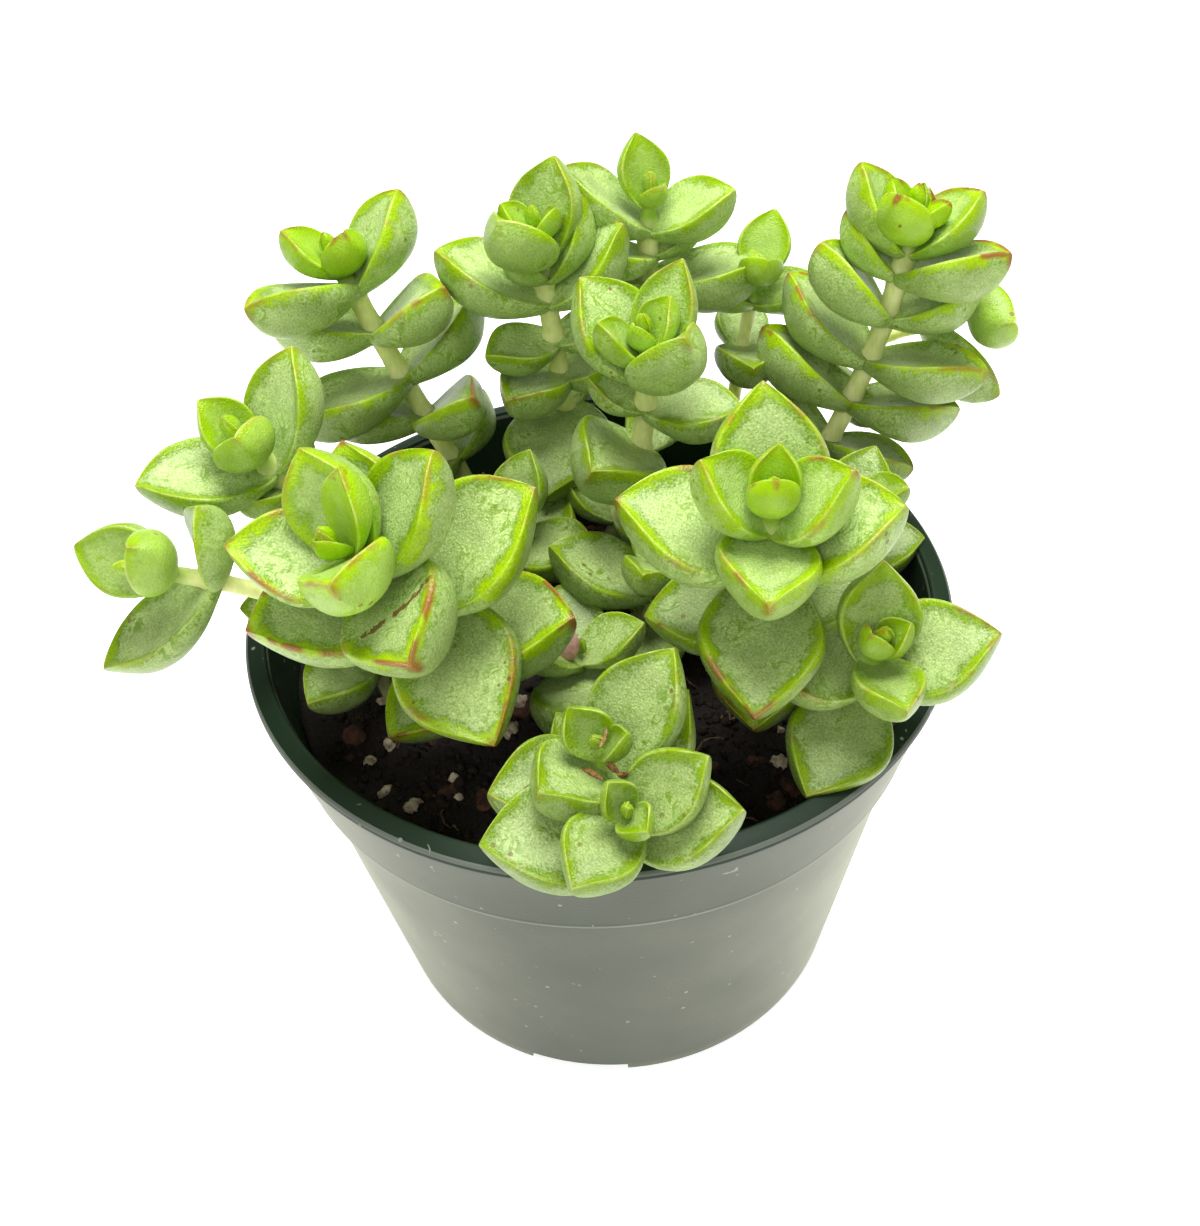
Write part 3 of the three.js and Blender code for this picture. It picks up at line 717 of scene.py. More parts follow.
def leaf_material():
    """Succulent leaf, wet flesh under a thin skin with a powdery wax bloom: satin and slightly
    translucent, grey-green where the bloom lies and clear yellow-green along the margin."""
    settings = bpy.context.scene.vine_leaves
    # Unevenness of the band, stained patches, wax grains, rub marks, water-storing cells, specks
    material, node, known = new_material("crassula_leaf", {
        "wobble": (NOISE, 2.2, None, {"Detail": 4.0}),
        "patches": (NOISE, 5, None, {"Detail": 2.0}),
        "grain": (NOISE, 0.3, None, {"Detail": 1.0}),
        "rubbing": (NOISE, 3.4, None, {"Detail": 2.0, "Distortion": 2.2}),
        "pores": (CELLS, 0.42, None, {"Randomness": 0.9}),
        "dots": (CELLS, 2.4, None, {}),
    })
    known.update(low=SOIL_TOP, high=108 * MM)
    for name in ("edge_mm", "face", "reach", *PAINT_NUMBERS):
        known[name] = node(ATTRIBUTE, out="Fac", attribute_name=name)
    # Bloom is the share of wax that hides the flesh. The band is the bare flesh along the margin.
    # Leaves lower in the clump are painted darker by their height (shade, in the tone), a painted
    # shade, and a thin pale line along the margin's ridge is a painted rim highlight (line).
    work_out(node, known, """
        wobble_mm = wobble * 3.4 + -1.7
        edge_even = sun * -0.8 + wobble_mm
        edge_drift = patches * 5.0 + -2.3
        edge_far = reach * -1.8 + 1.3
        edge_bend = edge_drift + edge_far
        edge_moved = edge_even + edge_bend
        edge_wavy = edge_mm + edge_moved
        pore_mm = pores * 2.2 + -0.9
        edge_dotted = edge_wavy + pore_mm
        top = face from 0.2 to 0.5
        under = 1.0 - top
        inner_top = edge_dotted from 0.7 to 2.7
        inner_low = edge_dotted from 0.5 to 2.0
        top_part = inner_top * top
        faces = inner_low * under * 0.8 + top_part
        rubbed = rubbing from 0.5 to 0.56
        rubbed_back = rubbing from 0.6 to 0.66
        streaks = rubbed - rubbed_back
        cleared = patches from 0.45 to 0.68
        kept_wax = streaks * cleared * -0.75 + 1.0
        wax_age = fresh * -0.95 + 0.88
        powder = grain over 0.3 to 0.7
        cells = pores from 0.45 to 0.1
        powder_cells = cells * 0.6 + powder
        powdering = powder_cells * 0.55 + 0.4
        bloom = faces * kept_wax * wax_age * powdering
        band_there = 1.0 - faces
        outer_half = edge_wavy from 1.7 to 0.2
        band_grain = grain * 1.2 + 0.2
        band = band_there * outer_half * band_grain min 1.0
        vivid = sun * 0.9 + 0.1
        young_flesh = fresh power 0.8
        edge_line = edge_mm from 0.3 to 0.12
        line_grain = wobble * 1.8 + -0.6
        line = edge_line * line_grain
        redness = patches from 0.46 to 0.6
        near_margin = edge_mm from 1.1 to 0.3
        red_far = reach from 0.3 to 0.8
        red_edge = near_margin * redness * red_far
        tip = reach from 0.935 to 1.0
        red_here = red_edge max tip
        red_grain = grain * 1.6 + 0.25
        red = red_here * red_grain * blush min 0.78
        scar_bend = wobble * 0.16 + 0.44
        scar_line = reach near scar_bend within 0.024
        scar_gap = wobble > 0.48
        scarred = scar_line * scar_gap * top * scar
        speck = dots from 0.17 to 0.12
        oldness = age * 0.7 + 0.3
        speck_old = speck * cleared * oldness
        marks = speck_old max scarred * 0.85
        mottle = patches over 0.3 to 0.7 as 0.78 to 1.12
        height = spot dot upright
        shade = height over low to high as 0.6 to 1.1
        tone_even = age * 0.12 + mottle
        tone = tone_even * shade
        rough_wax = bloom * 0.2 + 0.24
        rough = grain * 0.1 + rough_wax
    """)
    window = coat(node, known, linear("#86a60a"), vivid=settings.band)
    # line lays the painted rim highlight, a pale line along the margin's ridge.
    skin = coat(
        node, known, settings.tissue, band=window, young_flesh=settings.young, bloom=settings.bloom,
        line=linear("#d2e27e"), red=settings.blush, marks=linear("#6b3d22"),
    )
    close_material(node, known, skin, (0.5, 0.08, "powder_cells"), {
        "IOR": 1.45, "Subsurface Weight": 0.12, "Subsurface Scale": 1.5 * MM,
        "Subsurface Radius": (0.6, 1.0, 0.15), "Specular IOR Level": 0.38,
    })
    return material


# Stems


def stem_tree():
    """A stem along its path, thicker at each pair of leaves, with a slightly uneven skin."""
    tree, node, known = new_tree("stem_rule", {
        "Radius": "Float", "Sides": "Int", "Swelling": "Float", "Unevenness": "Float",
        "Material": "Material",
    })
    known["swell"] = node(NAMED, {"Name": "swell"}, data_type="FLOAT")
    known["bumps"] = node(NOISE, {"Scale": per_mm(2.2), "Detail": 2.0}, out="Color")
    work_out(node, known, """
        thickness = swell * swelling + 1.0
        thicker = thickness max 0.1
        uneven = bumps - mid scaled unevenness
    """)
    line = node("GeometryNodeMeshToCurve", {"Mesh": known["geometry"]})
    section = node("GeometryNodeCurvePrimitiveCircle", {
        "Resolution": known["sides"], "Radius": known["radius"],
    })
    tube = node("GeometryNodeCurveToMesh", {
        "Curve": line, "Profile Curve": section, "Scale": known["thicker"], "Fill Caps": True,
    })
    moved = node(MOVE, {"Geometry": tube, "Offset": known["uneven"]})
    close_tree(node, known, moved)
    return tree


def stem_mesh(name, points, pairs):
    """The stem's line, with how much it swells and how tender it is at each point.

    A stem swells at each pair of leaves, and its top is drawn to a point between the youngest.
    """
    collar, tip, tender_tip = 1.4 * MM, 5 * MM, 3.2 * MM
    mesh = bpy.data.meshes.new(name)
    mesh.from_pydata(points, [(i, i + 1) for i in range(len(points) - 1)], [])
    joints = [node_on(points, pair[0])[0] for pair in pairs]
    swell = mesh.attributes.new("swell", "FLOAT", "POINT").data
    tender = mesh.attributes.new("tender", "FLOAT", "POINT").data
    for i, point in enumerate(points):
        near = min((point - joint).length for joint in joints)
        left = (points[-1] - point).length
        taper = max(1 - left / tip, 0.0)
        tender[i].value = min(max(2 - left / tender_tip, 0.0), 0.9)
        swell[i].value = math.exp(-((near / collar) ** 2)) - 4.2 * taper
    return mesh


def stem_material():
    """Young succulent stem, smooth and juicy: pale yellow-green, satin, lightly streaked, woody
    at the foot, and as green as the youngest leaves at its tender top."""
    settings = bpy.context.scene.vine_stems
    material, node, known = new_material("crassula_stem", {
        "streaks": (NOISE, 0.7, (1.0, 1.0, 0.25), {"Detail": 3.0}),
        "patches": (NOISE, 3, None, {"Detail": 2.0}),
    })
    known.update(low=SOIL_TOP, high=84 * MM)
    known["tender"] = node(ATTRIBUTE, out="Fac", attribute_name="tender")
    work_out(node, known, """
        height = spot dot upright
        woody = height from high to low as 0.0 to 0.6
        light = streaks over 0.35 to 0.7
        tone = patches over 0.3 to 0.7 as 0.9 to 1.08
        rough = streaks over 0.3 to 0.7 as 0.36 to 0.5
    """)
    skin = coat(
        node, known, linear("#e8f09c"), light=settings.skin, woody=linear("#8c8a5a"),
        tender=linear("#8db522"),
    )
    close_material(node, known, skin, (0.3, 0.1, "streaks"), {
        "IOR": 1.45, "Subsurface Weight": 0.5, "Subsurface Scale": 2.5 * MM,
        "Subsurface Radius": (1.0, 1.0, 0.6),
    })
    return material


# Pot


def arc_corner(before, corner, after, cut, steps=4):
    """Points that round a corner off, from cut before it to cut after it."""
    start = corner + (before - corner).normalized() * min(cut, (before - corner).length * 0.48)
    end = corner + (after - corner).normalized() * min(cut, (after - corner).length * 0.48)
    return [start.lerp(corner, s).lerp(corner.lerp(end, s), s) for s in
            (i / steps for i in range(steps + 1))]


def pot_outline(pot):
    """Half section of the pot from the underside's middle, up outside, over the lip and down."""
    foot_height, foot_width, pad_radius = 2 * MM, 1.8 * MM, 21 * MM
    band_step, band_foot = 1.4 * MM, pot.rim_radius - 3.9 * MM
    band_low = pot.height - pot.band_height
    inner_band = band_foot - band_step - pot.wall
    inner_base = pot.base_radius - pot.wall
    floor_top = foot_height + pot.wall
    rise = floor_top / band_low
    edge_low = pot.height - 0.8 * MM
    # Radius and height of each corner, and how many millimetres are rounded off
    corners = (
        (pad_radius, 0, 0.3), (pad_radius + foot_height, foot_height, 0.4),
        (pot.base_radius - foot_width, foot_height, 0.2), (pot.base_radius - foot_width, 0, 0.3),
        (pot.base_radius, 0, 0.5), (pot.base_radius + 0.47 * MM, 3 * MM, 0.1),
        (band_foot - band_step, band_low - 0.5 * MM, 0.3),
        (band_foot - 0.1 * MM, band_low, 0.35), (band_foot + 0.1 * MM, band_low + 1.2 * MM, 0.4),
        (pot.rim_radius - 0.7 * MM, edge_low - 1.9 * MM, 0.5),
        (pot.rim_radius, edge_low - 1.3 * MM, 0.5), (pot.rim_radius, edge_low, 0.6),
        (pot.rim_radius - pot.lip_width, pot.height, 0.5),
        (pot.rim_radius - pot.lip_width - 0.4 * MM, pot.height - 1.4 * MM, 0.5),
        (inner_band, band_low, 0.8),
        (inner_base + (inner_band - inner_base) * rise, floor_top, 1.2),
        (pad_radius + foot_height - pot.wall / 2, floor_top, 0.6),
        (pad_radius - pot.wall / 2, pot.wall, 0.6),
    )
    points = [Vector((0.0, 0.0))] + [Vector((x, z)) for x, z, _ in corners]
    points.append(Vector((0.0, pot.wall)))
    outline = [points[0]]
    for i, (_, _, cut) in enumerate(corners, 1):
        outline += arc_corner(points[i - 1], points[i], points[i + 1], cut * MM)
    return outline + [points[-1]]


def lathe_mesh(name, outline, segments):
    """A closed solid of revolution from an outline that starts and ends on the axis."""
    ring = [2 * math.pi * i / segments for i in range(segments)]
    inner = outline[1:-1]
    vertices = [(p.x * math.cos(a), p.x * math.sin(a), p.y) for p in inner for a in ring]
    low, high = len(vertices), len(vertices) + 1
    vertices += [(0, 0, outline[0].y), (0, 0, outline[-1].y)]
    last = (len(inner) - 1) * segments
    faces = []
    for i in range(segments):
        j = (i + 1) % segments
        faces += [(low, j, i), (high, last + i, last + j)]
        for k in range(0, last, segments):
            faces.append((k + i, k + j, k + segments + j, k + segments + i))
    mesh = bpy.data.meshes.new(name)
    mesh.from_pydata(vertices, [], faces)
    return mesh


def pot_tree():
    """Cut the notches of the foot ring and the drain holes, each repeated round a circle."""
    tree, node, known = new_tree("pot_openings", {
        "Foot Radius": "Float", "Notches": "Int", "Notch Width": "Float", "Notch Height": "Float",
        "First Angle": "Float", "Drains": "Int", "Drain Radius": "Float", "Drain Circle": "Float",
        "Material": "Material",
    })
    notch_size = node("ShaderNodeCombineXYZ", (8 * MM, known["notch_width"], known["notch_height"]))
    notch = node("GeometryNodeMeshCube", (notch_size, 2, 2, 2))
    drain = node("GeometryNodeMeshCylinder", {
        "Vertices": 40, "Radius": known["drain_radius"], "Depth": 9 * MM,
    })
    body = known["geometry"]
    for count, radius, cutter in (
        (known["notches"], known["foot_radius"], notch),
        (known["drains"], known["drain_circle"], drain),
    ):
        turned = node("GeometryNodeTransform", {
            "Geometry": node("GeometryNodeMeshCircle", (count, radius)),
            "Rotation": node("ShaderNodeCombineXYZ", (0.0, 0.0, known["first_angle"])),
        })
        facing = node("FunctionNodeAlignRotationToVector", {
            "Vector": node("GeometryNodeInputPosition"),
        }, axis="X", pivot_axis="Z")
        cut = node(REALIZE, {"Geometry": node(SPREAD, {
            "Points": turned, "Instance": cutter, "Rotation": facing,
        })})
        body = node("GeometryNodeMeshBoolean", {"Mesh 1": body, "Mesh 2": cut},
                    operation="DIFFERENCE", solver="EXACT")
    close_tree(node, known, body)
    return tree


def pot_material():
    """Injection-moulded polypropylene: deep green and satin, glossier on the rim; the outer wall is
    painted paler, a painted reflection of the white surroundings, with small scuffs and white specks,
    and thin painted highlights along the edges of ledge and lip."""
    pot = bpy.context.scene.vine_pot
    material, node, known = new_material("moulded_polypropylene", {
        "clouds": (NOISE, 18, None, {"Detail": 4.0}),
        "fine": (NOISE, 0.5, None, {"Detail": 2.0}),
        "flow": (NOISE, 1.5, (1.0, 1.0, 0.08), {"Detail": 3.0}),
        "scuffing": (NOISE, 2.5, None, {"Detail": 4.0, "Distortion": 1.5}),
        "specks": (CELLS, 4.5, None, {}),
    })
    ledge = pot.height - pot.band_height
    # The outer wall lies outside a cone halfway through the wall, below the lip. There a painted
    # reflection of the white surroundings lightens the plastic, weaker above the ledge, and the edges
    # of ledge and lip get thin painted highlights.
    known.update(
        cone_inside=37.6 * MM, cone_outside=38.6 * MM, lip_low=pot.height - 1.9 * MM,
        lip_lower=pot.height - 2.6 * MM, ledge_low=ledge - 0.2 * MM, ledge_high=ledge + 0.2 * MM,
        ledge_edge=ledge + 0.3 * MM, ledge_wear=0.35 * MM, lip_edge=pot.height - 1.0 * MM,
        lip_wear=0.3 * MM,
    )
    work_out(node, known, """
        height = spot dot upright
        radius = spot * flatwise magnitude
        taper = height * -0.183 + radius
        outside = taper from cone_inside to cone_outside
        below_lip = height from lip_low to lip_lower
        wiped = height over ledge_low to ledge_high as 1.0 to 0.72
        cloud_share = clouds over 0.3 to 0.7 as 0.72 to 1.0
        grainy = fine * 0.16 + 0.86
        haze = outside * below_lip * wiped * cloud_share * grainy
        haze_part = haze * 0.82
        off_ledge = height near ledge_edge within ledge_wear
        off_lip = height near lip_edge within lip_wear
        edges = off_ledge max off_lip
        worn = edges * cloud_share * 0.6
        speck_dots = specks from 0.09 to 0.05
        scuff_marks = scuffing from 0.7 to 0.76
        marks = speck_dots max scuff_marks max worn * 0.4
        shine = haze * 0.4 + 0.15
        rough_haze = haze * 0.1 + 0.4
        rough = fine * 0.08 + rough_haze
        texture = flow * 0.5 + fine
    """)
    # The painted reflection lies on the outer wall; marks lays the real specks and scuffs together
    # with the painted highlights on the edges of ledge and lip.
    paint = coat(node, known, pot.plastic, haze_part=pot.haze, marks=linear("#c9cdbf"))
    close_material(node, known, paint, (0.18, 0.08, "texture"), {
        "IOR": 1.49, "Sheen Weight": known["haze"], "Sheen Roughness": 0.35,
        "Sheen Tint": linear("#f2f4dc"), "Specular IOR Level": known["shine"],
    })
    return material


# Soil


def soil_tree():
    """The filling of the pot: a tapered plug whose top is mounded and crumbly."""
    tree, node, known = new_tree("soil_rule", {
        "Top Radius": "Float", "Bottom Radius": "Float", "Bottom": "Float", "Edge Height": "Float",
        "Mound": "Float", "Crumbs": "Float", "Material": "Material",
    })
    plug = node("GeometryNodeMeshCylinder", {
        "Vertices": 180, "Side Segments": 6, "Fill Segments": 60, "Radius": 1.0, "Depth": 1.0,
    })
    known["place"] = node("GeometryNodeInputPosition")
    known["rough"] = node(NOISE, {"Scale": 14.0, "Detail": 6.0, "Roughness": 0.62})
    known["clods"] = node(NOISE, {"Scale": 5.0, "Detail": 2.0, "Distortion": 0.6})
    work_out(node, known, """
        level = place dot upright
        share = level + 0.5
        on_top = level > 0.499
        flat = place * flatwise
        out = flat magnitude
        out_squared = out * out
        inward = 1.0 - out_squared
        widening = top_radius - bottom_radius
        radius = widening * share + bottom_radius
        tall = edge_height - bottom
        height_even = tall * share + bottom
        mounded = mound * inward
        crumbling = rough + clods - 1.0
        crumbs_here = crumbs * crumbling
        risen = mounded + crumbs_here
        risen_top = risen * on_top
        height = height_even + risen_top
        lift = upright scaled height
        final = flat scaled radius + lift
    """)
    shaped = node(MOVE, {"Geometry": plug, "Position": known["final"]})
    close_tree(node, known, shaped)
    return tree


def strewn_tree(name, inputs):
    """A tree that strews things on the soil, where it is flat enough and within reach."""
    shared = {
        "Density": "Float", "Smallest": "Float", "Largest": "Float", "Lumps": "Float",
        "Reach": "Float", "Seed": "Int", "Material": "Material",
    }
    tree, node, known = new_tree(name, {**inputs, **shared})
    known["normal"] = node("GeometryNodeInputNormal")
    known["place"] = node("GeometryNodeInputPosition")
    work_out(node, known, """
        facing_up = normal dot upright > 0.45
        radius = place * flatwise magnitude
        inside = radius < reach
        chosen = facing_up * inside
    """)
    known["size"] = node(RANDOM, {
        2: known["smallest"], 3: known["largest"], "Seed": known["seed"],
    }, out=1, data_type="FLOAT")
    soil = {"Mesh": known["geometry"], "Selection": known["chosen"], "Seed": known["seed"]}
    return tree, node, known, soil


def strew(node, known, points, thing, tilt, scale, bumps, middle):
    """Lay a thing on each point, tilted by chance and turned any way, and bend all by bumps."""
    low, high = (-tilt[0], -tilt[1], 0.0), (*tilt, 6.28)
    turn = node(RANDOM, {0: low, 1: high, "Seed": known["seed"]}, data_type="FLOAT_VECTOR")
    things = node(REALIZE, {"Geometry": node(SPREAD, {
        "Points": points, "Instance": thing, "Scale": scale,
        "Rotation": node("FunctionNodeEulerToRotation", {"Euler": turn}),
    })})
    known["bumps"], known["middle"] = node(NOISE, bumps, out="Color"), middle
    work_out(node, known, "moved = bumps - middle scaled lumps")
    moved = node(MOVE, {"Geometry": things, "Offset": known["moved"]})
    close_tree(node, known, moved)


def grain_tree():
    """Grains strewn on the soil: a lumpy ball on each point, turned, stretched and pressed in."""
    tree, node, known, soil = strewn_tree("grain_rule", {
        "Spacing": "Float", "Flatness": "Float", "Detail": "Int",
    })
    points = node(STREW, {
        **soil, "Distance Min": known["spacing"], "Density Max": known["density"],
    }, distribute_method="POISSON")
    known["stretch"] = node(RANDOM, {
        0: (0.7, 0.55, 0.0), 1: (1.0, 1.0, 0.0), "Seed": known["seed"],
    }, data_type="FLOAT_VECTOR")
    work_out(node, known, """
        thin = 1.0 - flatness
        lift = upright scaled thin
        scale = stretch + lift scaled size
    """)
    ball = node("GeometryNodeMeshIcoSphere", {"Radius": 0.5, "Subdivisions": known["detail"]})
    strew(node, known, points, ball, (0.5, 0.5), known["scale"],
          {"Scale": per_mm(1.1), "Detail": 2.0}, WAYS["mid"])
    return tree


def fibre_tree():
    """Peat fibres strewn on the soil: thin curved threads."""
    tree, node, known, soil = strewn_tree("fibre_rule", {"Thickness": "Float"})
    points = node(STREW, {**soil, "Density": known["density"]})
    thick = known["thickness"]
    line = node("GeometryNodeResampleCurve", {
        "Curve": node("GeometryNodeCurvePrimitiveLine", ((-0.5, 0, 0), (0.5, 0, 0))), "Count": 9,
    })
    section = node("GeometryNodeCurvePrimitiveCircle", {"Resolution": 4, "Radius": 1.0})
    thread = node("GeometryNodeCurveToMesh", {
        "Curve": line, "Profile Curve": section, "Fill Caps": True,
    })
    # The bend's middle is low, so most threads arch upwards
    scale = node("ShaderNodeCombineXYZ", (known["size"], thick, thick))
    strew(node, known, points, thread, (0.2, 0.35), scale,
          {"Scale": per_mm(6), "Detail": 1.0}, (0.5, 0.5, 0.45))
    return tree


def earthy_material(name, dark, light, size, rough, relief):
    """A rough mineral or woody surface: two tones mottled at a size in mm, matte and bumpy."""
    material, node, known = new_material(name, {
        "mottle": (NOISE, size, None, {"Detail": 5.0, "Roughness": 0.65}),
        "grit": (NOISE, size / 5, None, {"Detail": 3.0}),
    })
    known.update(damp=rough - 0.2, dry=rough)
    work_out(node, known, """
        lightness = mottle from 0.36 to 0.66
        rough = mottle over 0.3 to 0.7 as damp to dry
    """)
    paint = coat(node, known, dark, lightness=light)
    close_material(node, known, paint, (0.8, relief, "grit"), {"IOR": 1.4})
    return material


# Operators


class VINE_OT_pot(bpy.types.Operator):
    """Mould the nursery pot: lip, band, tapered wall, notched foot ring and drain holes"""

    bl_idname = "vine.pot"
    bl_label = "Pot"

    def execute(self, context):
        pot = context.scene.vine_pot
        mesh = lathe_mesh("nursery_pot", pot_outline(pot), 192)
        piece = run_tree("nursery_pot", mesh, pot_tree(), {
            "Foot Radius": pot.base_radius - 0.9 * MM, "Notches": pot.notch_count,
            "Notch Width": pot.notch_width, "Notch Height": 4 * MM,
            "First Angle": math.radians(FIRST_NOTCH), "Drains": pot.drain_count,
            "Drain Radius": 4 * MM, "Drain Circle": 30 * MM, "Material": pot_material(),
        })
        piece.data.set_sharp_from_angle(angle=math.radians(40))
        fit(piece, "pot_plastic", "pot")
        return {"FINISHED"}


class VINE_OT_soil(bpy.types.Operator):
    """Fill the pot with peat, and strew crumbs, perlite, bark chips and fibres on it"""

    bl_idname = "vine.soil"
    bl_label = "Soil"

    def execute(self, context):
        soil = context.scene.vine_soil
        peat = earthy_material("damp_peat", linear("#120c09"), soil.peat, 3, 0.95, 0.5)
        bed = run_tree("soil_bed", bpy.data.meshes.new("bed"), soil_tree(), {
            "Top Radius": SOIL_HIGH.x, "Bottom Radius": 38.4 * MM, "Bottom": 3.6 * MM,
            "Edge Height": 61.0 * MM, "Mound": soil.mound, "Crumbs": 4.5 * MM, "Material": peat,
        })
        grains, fibres = grain_tree(), fibre_tree()
        crumbs = earthy_material("peat_crumbs", linear("#0b0705"), linear("#2d2017"), 2, 0.95, 0.4)
        perlite = earthy_material("perlite", linear("#a08a6c"), soil.perlite, 1.2, 0.95, 0.3)
        bark = earthy_material("composted_bark", linear("#33201a"), soil.bark, 1.6, 0.85, 0.3)
        thread = earthy_material("peat_fibre", linear("#3b2a1c"), linear("#8a6c49"), 2, 0.9, 0.1)
        reach = SOIL_HIGH.x - 2.5 * MM
        # Spacing in mm, density a square metre, smallest and largest size in mm, flatness, lumps in
        # mm, subdivisions and seed
        strewn = (
            ("peat_crumbs", crumbs, 1.1, 420000, 0.9, soil.crumb_size / MM, 0.25, 1.3, 1, 3),
            ("perlite_grains", perlite, 3.2, 17000, 1.5, soil.perlite_size / MM, 0.2, 1.6, 3, 8),
            ("bark_chips", bark, 3.5, 9000, 2.4, 5.5, 0.72, 1.4, 3, 21),
        )
        for name, material, spacing, density, small, large, flat, lumps, detail, seed in strewn:
            piece = run_tree(name, bed.data.copy(), grains, {
                "Spacing": spacing * MM, "Density": float(density), "Smallest": small * MM,
                "Largest": large * MM, "Flatness": flat, "Lumps": lumps * MM, "Detail": detail,
                "Reach": reach, "Seed": seed, "Material": material,
            })
            fit(piece, "potting_soil")
        piece = run_tree("peat_fibres", bed.data.copy(), fibres, {
            "Density": 9000.0, "Smallest": 4 * MM, "Largest": 13 * MM, "Thickness": 0.16 * MM,
            "Lumps": 7 * MM, "Reach": reach - 3 * MM, "Seed": 5, "Material": thread,
        })
        fit(piece, "potting_soil")
        fit(bed, "potting_soil", "soil")
        return {"FINISHED"}


class VINE_OT_stems(bpy.types.Operator):
    """Grow the stems of the tall shoots and of the side shoots"""

    bl_idname = "vine.stems"
    bl_label = "Stems"

    def execute(self, context):
        tree, material = stem_tree(), stem_material()
        settings = context.scene.vine_stems
        kinds = (
            ("stem", "stem", SHOOTS, settings.radius),
            ("sprout", "young_shoot", SPROUTS, settings.side_radius),
        )
        for kind, slot, group, radius in kinds:
            for name, shoot in group.items():
                mesh = stem_mesh(name, curve_points(shoot.path), shoot.pairs)
                piece = run_tree(f"{kind}_of_{name}", mesh, tree, {
                    "Radius": radius, "Sides": 16, "Swelling": 0.3, "Unevenness": 0.35 * MM,
                    "Material": material,
                })
                fit(piece, slot, f"{kind}_{name}")
        return {"FINISHED"}


class VINE_OT_leaves(bpy.types.Operator):
    """Grow the full-size pairs of leaves, each shoot's small leaves and bud, and the dried bits"""

    bl_idname = "vine.leaves"
    bl_label = "Leaves"

    def execute(self, context):
        tree, material = leaf_tree(), leaf_material()
        chance = random.Random(11)
        for name, shoot in SHOOTS.items():
            points, blush = curve_points(shoot.path), shoot.blush
            full = [pair for pair in shoot.pairs if not is_fused(pair)]
            small = [pair for pair in shoot.pairs if is_fused(pair)]
            for i, pair in enumerate(full, 1):
                leaves = leaves_on(points, [pair], blush, chance)
                piece = grow_leaves(f"leaves_{name}_{i}", leaves, tree, material, FULL_LEAF)
                fit(piece, "leaf", f"leaf_pair_{name}_{i}")
            leaves = leaves_on(points, small, blush, chance, shoot.bud)
            fit(grow_leaves(f"tip_of_{name}", leaves, tree, material, SMALL_LEAF), "young_shoot")
        for name, shoot in SPROUTS.items():
            points = curve_points(shoot.path)
            leaves = leaves_on(points, shoot.pairs, shoot.blush, chance, shoot.bud)
            piece = grow_leaves(f"sprout_leaves_{name}", leaves, tree, material, SMALL_LEAF)
            fit(piece, "young_shoot")
        for name, (foot, tip, width, dark, light) in REMAINS.items():
            dried = earthy_material(name, linear(dark), linear(light), 0.8, 0.8, 0.1)
            leaves = [remnant_on(foot, tip, width)]
            fit(grow_leaves(name, leaves, tree, dried, DRIED_BIT), "young_shoot")
        return {"FINISHED"}


class VINE_OT_stage(bpy.types.Operator):
    """Set the white floor, the soft lights and the camera"""

    bl_idname = "vine.stage"
    bl_label = "Stage"

    def execute(self, context):
        stage = context.scene.vine_stage
        set_floor(stage)
        set_lights(context.scene, stage)
        set_camera(context.scene)
        return {"FINISHED"}


def set_floor(stage):
    """A white floor that glows a little, so that it stays as white as the photo's."""
    side = 3.0
    mesh = bpy.data.meshes.new("floor")
    corners = [(-side, -side, 0), (side, -side, 0), (side, side, 0), (-side, side, 0)]
    mesh.from_pydata(corners, [], [(0, 1, 2, 3)])
    floor = bpy.data.objects.new("floor", mesh)
    bpy.context.scene.collection.objects.link(floor)
    material = bpy.data.materials.new("white_sweep")
    material.use_nodes = True
    shader = material.node_tree.nodes["Principled BSDF"]
    shader.inputs["Base Color"].default_value = stage.floor
    shader.inputs["Roughness"].default_value = 0.9
    shader.inputs["Emission Color"].default_value = (1, 1, 1, 1)
    shader.inputs["Emission Strength"].default_value = 0.66
    mesh.materials.append(material)


def set_lights(scene, stage):
    """A white world, a soft light overhead and a weaker one in front."""
    world = bpy.data.worlds.new("white_surroundings")
    world.use_nodes = True
    sky = world.node_tree.nodes["Background"].inputs
    sky["Color"].default_value = (1, 1, 1, 1)
    sky["Strength"].default_value = stage.world_strength
    scene.world = world
    # Place and width in metres, and power
    lamps = (
        ("overhead", (0.05, 0.15, 0.75), 0.5, stage.key_power),
        ("front", (-0.2, -0.6, 0.6), 0.6, stage.key_power * 0.34),
    )
    aim = Vector((0, 0, 0.08))
    for name, place, size, power in lamps:
        light = bpy.data.lights.new(name, "AREA")
        light.shape, light.size, light.energy = "DISK", size, power
        lamp = bpy.data.objects.new(name, light)
        lamp.location = place
        lamp.rotation_euler = (aim - lamp.location).to_track_quat("-Z", "Y").to_euler()
        scene.collection.objects.link(lamp)
    scene.view_settings.view_transform = "Standard"
    scene.view_settings.look = "None"


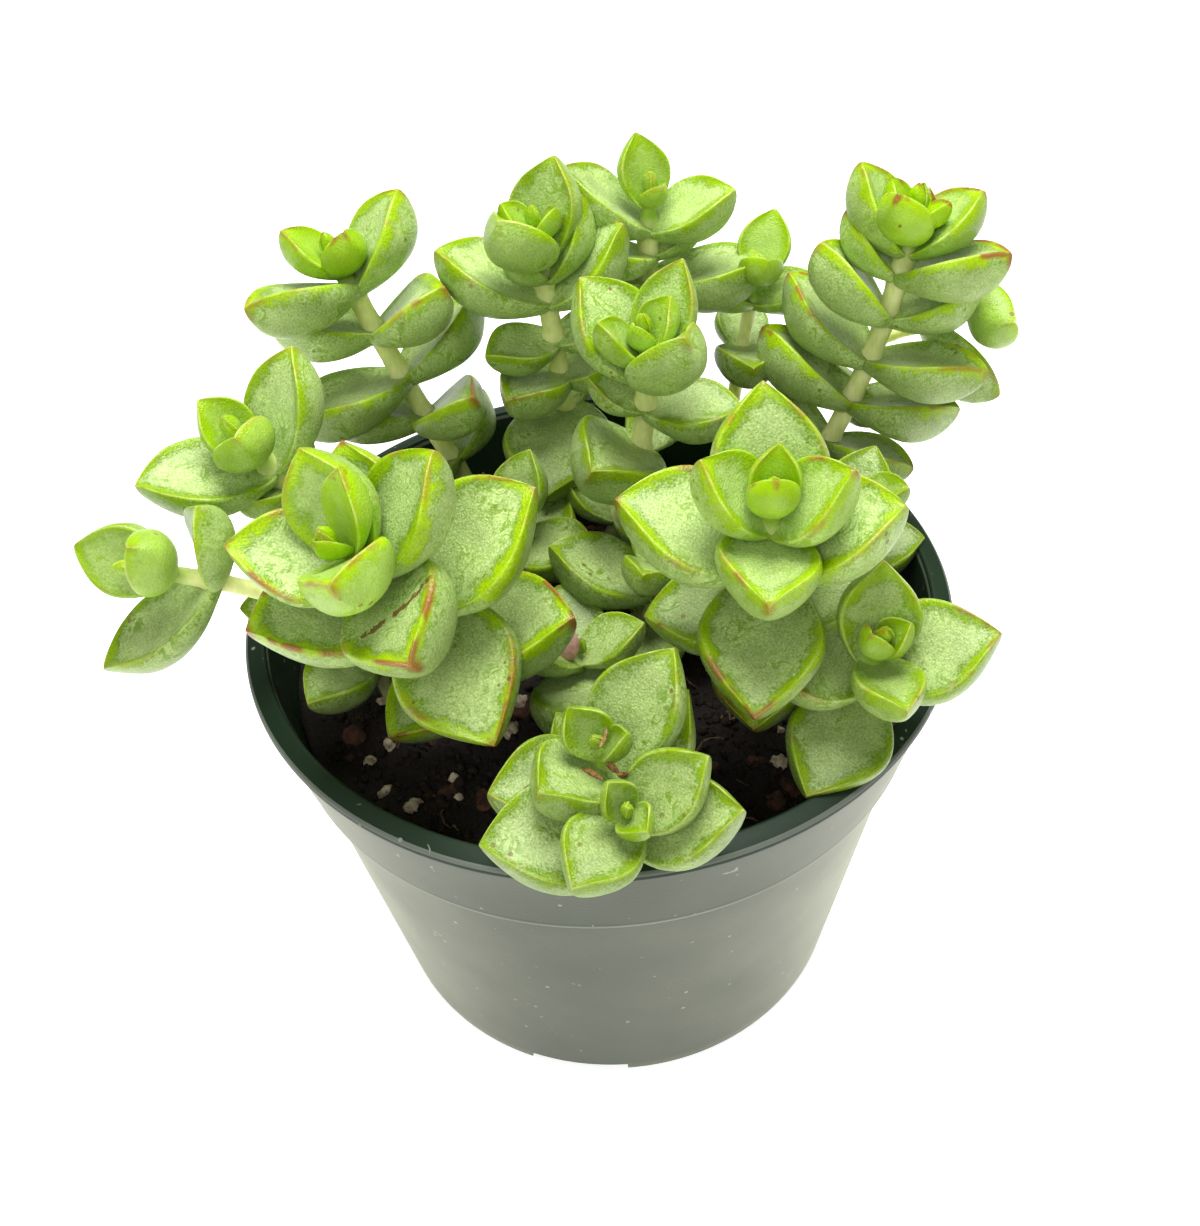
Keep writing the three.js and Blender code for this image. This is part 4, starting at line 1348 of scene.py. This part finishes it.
def set_camera(scene):
    """The photograph's camera: above and in front, looking down at the rim's middle."""
    distance, elevation, pitch = 0.216, math.radians(42), math.radians(1.05)
    yaw, roll = math.radians(-0.1), math.radians(-3.5)
    focal_pixels, tall_pixels, sensor = 1400, 1226, 36
    target = Vector((0, 0, POT_HIGH.z))
    place = target + distance * Vector((0, -math.cos(elevation), math.sin(elevation)))
    down = elevation + pitch
    back = Vector((math.sin(yaw) * math.cos(down), -math.cos(yaw) * math.cos(down), math.sin(down)))
    right = Vector((math.cos(yaw), math.sin(yaw), 0))
    up = back.cross(right)
    turned_right = right * math.cos(roll) + up * math.sin(roll)
    turned_up = up * math.cos(roll) - right * math.sin(roll)
    camera = bpy.data.objects.new("camera", bpy.data.cameras.new("camera"))
    camera.data.sensor_fit = "VERTICAL"
    camera.data.sensor_height = sensor
    camera.data.sensor_width = sensor
    camera.data.lens = focal_pixels / tall_pixels * sensor
    camera.data.clip_start = 0.01
    turn = Matrix((turned_right, turned_up, back)).transposed()
    camera.matrix_world = Matrix.Translation(place) @ turn.to_4x4()
    scene.collection.objects.link(camera)
    scene.camera = camera


class VINE_PT_panel(bpy.types.Panel):
    """The pieces of the potted plant and the sizes and colours behind them"""

    bl_label = "Rosary Vine"
    bl_idname = "VINE_PT_panel"
    bl_space_type = "VIEW_3D"
    bl_region_type = "UI"
    bl_category = "Rosary Vine"

    def draw(self, context):
        for operator, group, _ in STEPS:
            box = self.layout.box()
            box.operator(operator.bl_idname)
            settings = getattr(context.scene, group)
            for name in settings.bl_rna.properties.keys():
                if name not in ("rna_type", "name"):
                    box.prop(settings, name)


# Each operator with the name and kind of its settings on the scene
STEPS = (
    (VINE_OT_pot, "vine_pot", PotSettings),
    (VINE_OT_soil, "vine_soil", SoilSettings),
    (VINE_OT_stems, "vine_stems", StemSettings),
    (VINE_OT_leaves, "vine_leaves", LeafSettings),
    (VINE_OT_stage, "vine_stage", StageSettings),
)


def register():
    for operator, name, group in STEPS:
        bpy.utils.register_class(group)
        setattr(bpy.types.Scene, name, PointerProperty(type=group))
        bpy.utils.register_class(operator)
    bpy.utils.register_class(VINE_PT_panel)


def unregister():
    bpy.utils.unregister_class(VINE_PT_panel)
    for operator, name, group in reversed(STEPS):
        bpy.utils.unregister_class(operator)
        delattr(bpy.types.Scene, name)
        bpy.utils.unregister_class(group)


def main():
    register()
    bpy.ops.vine.pot()
    bpy.ops.vine.soil()
    bpy.ops.vine.stems()
    bpy.ops.vine.leaves()
    bpy.ops.vine.stage()


if __name__ == "__main__":
    main()
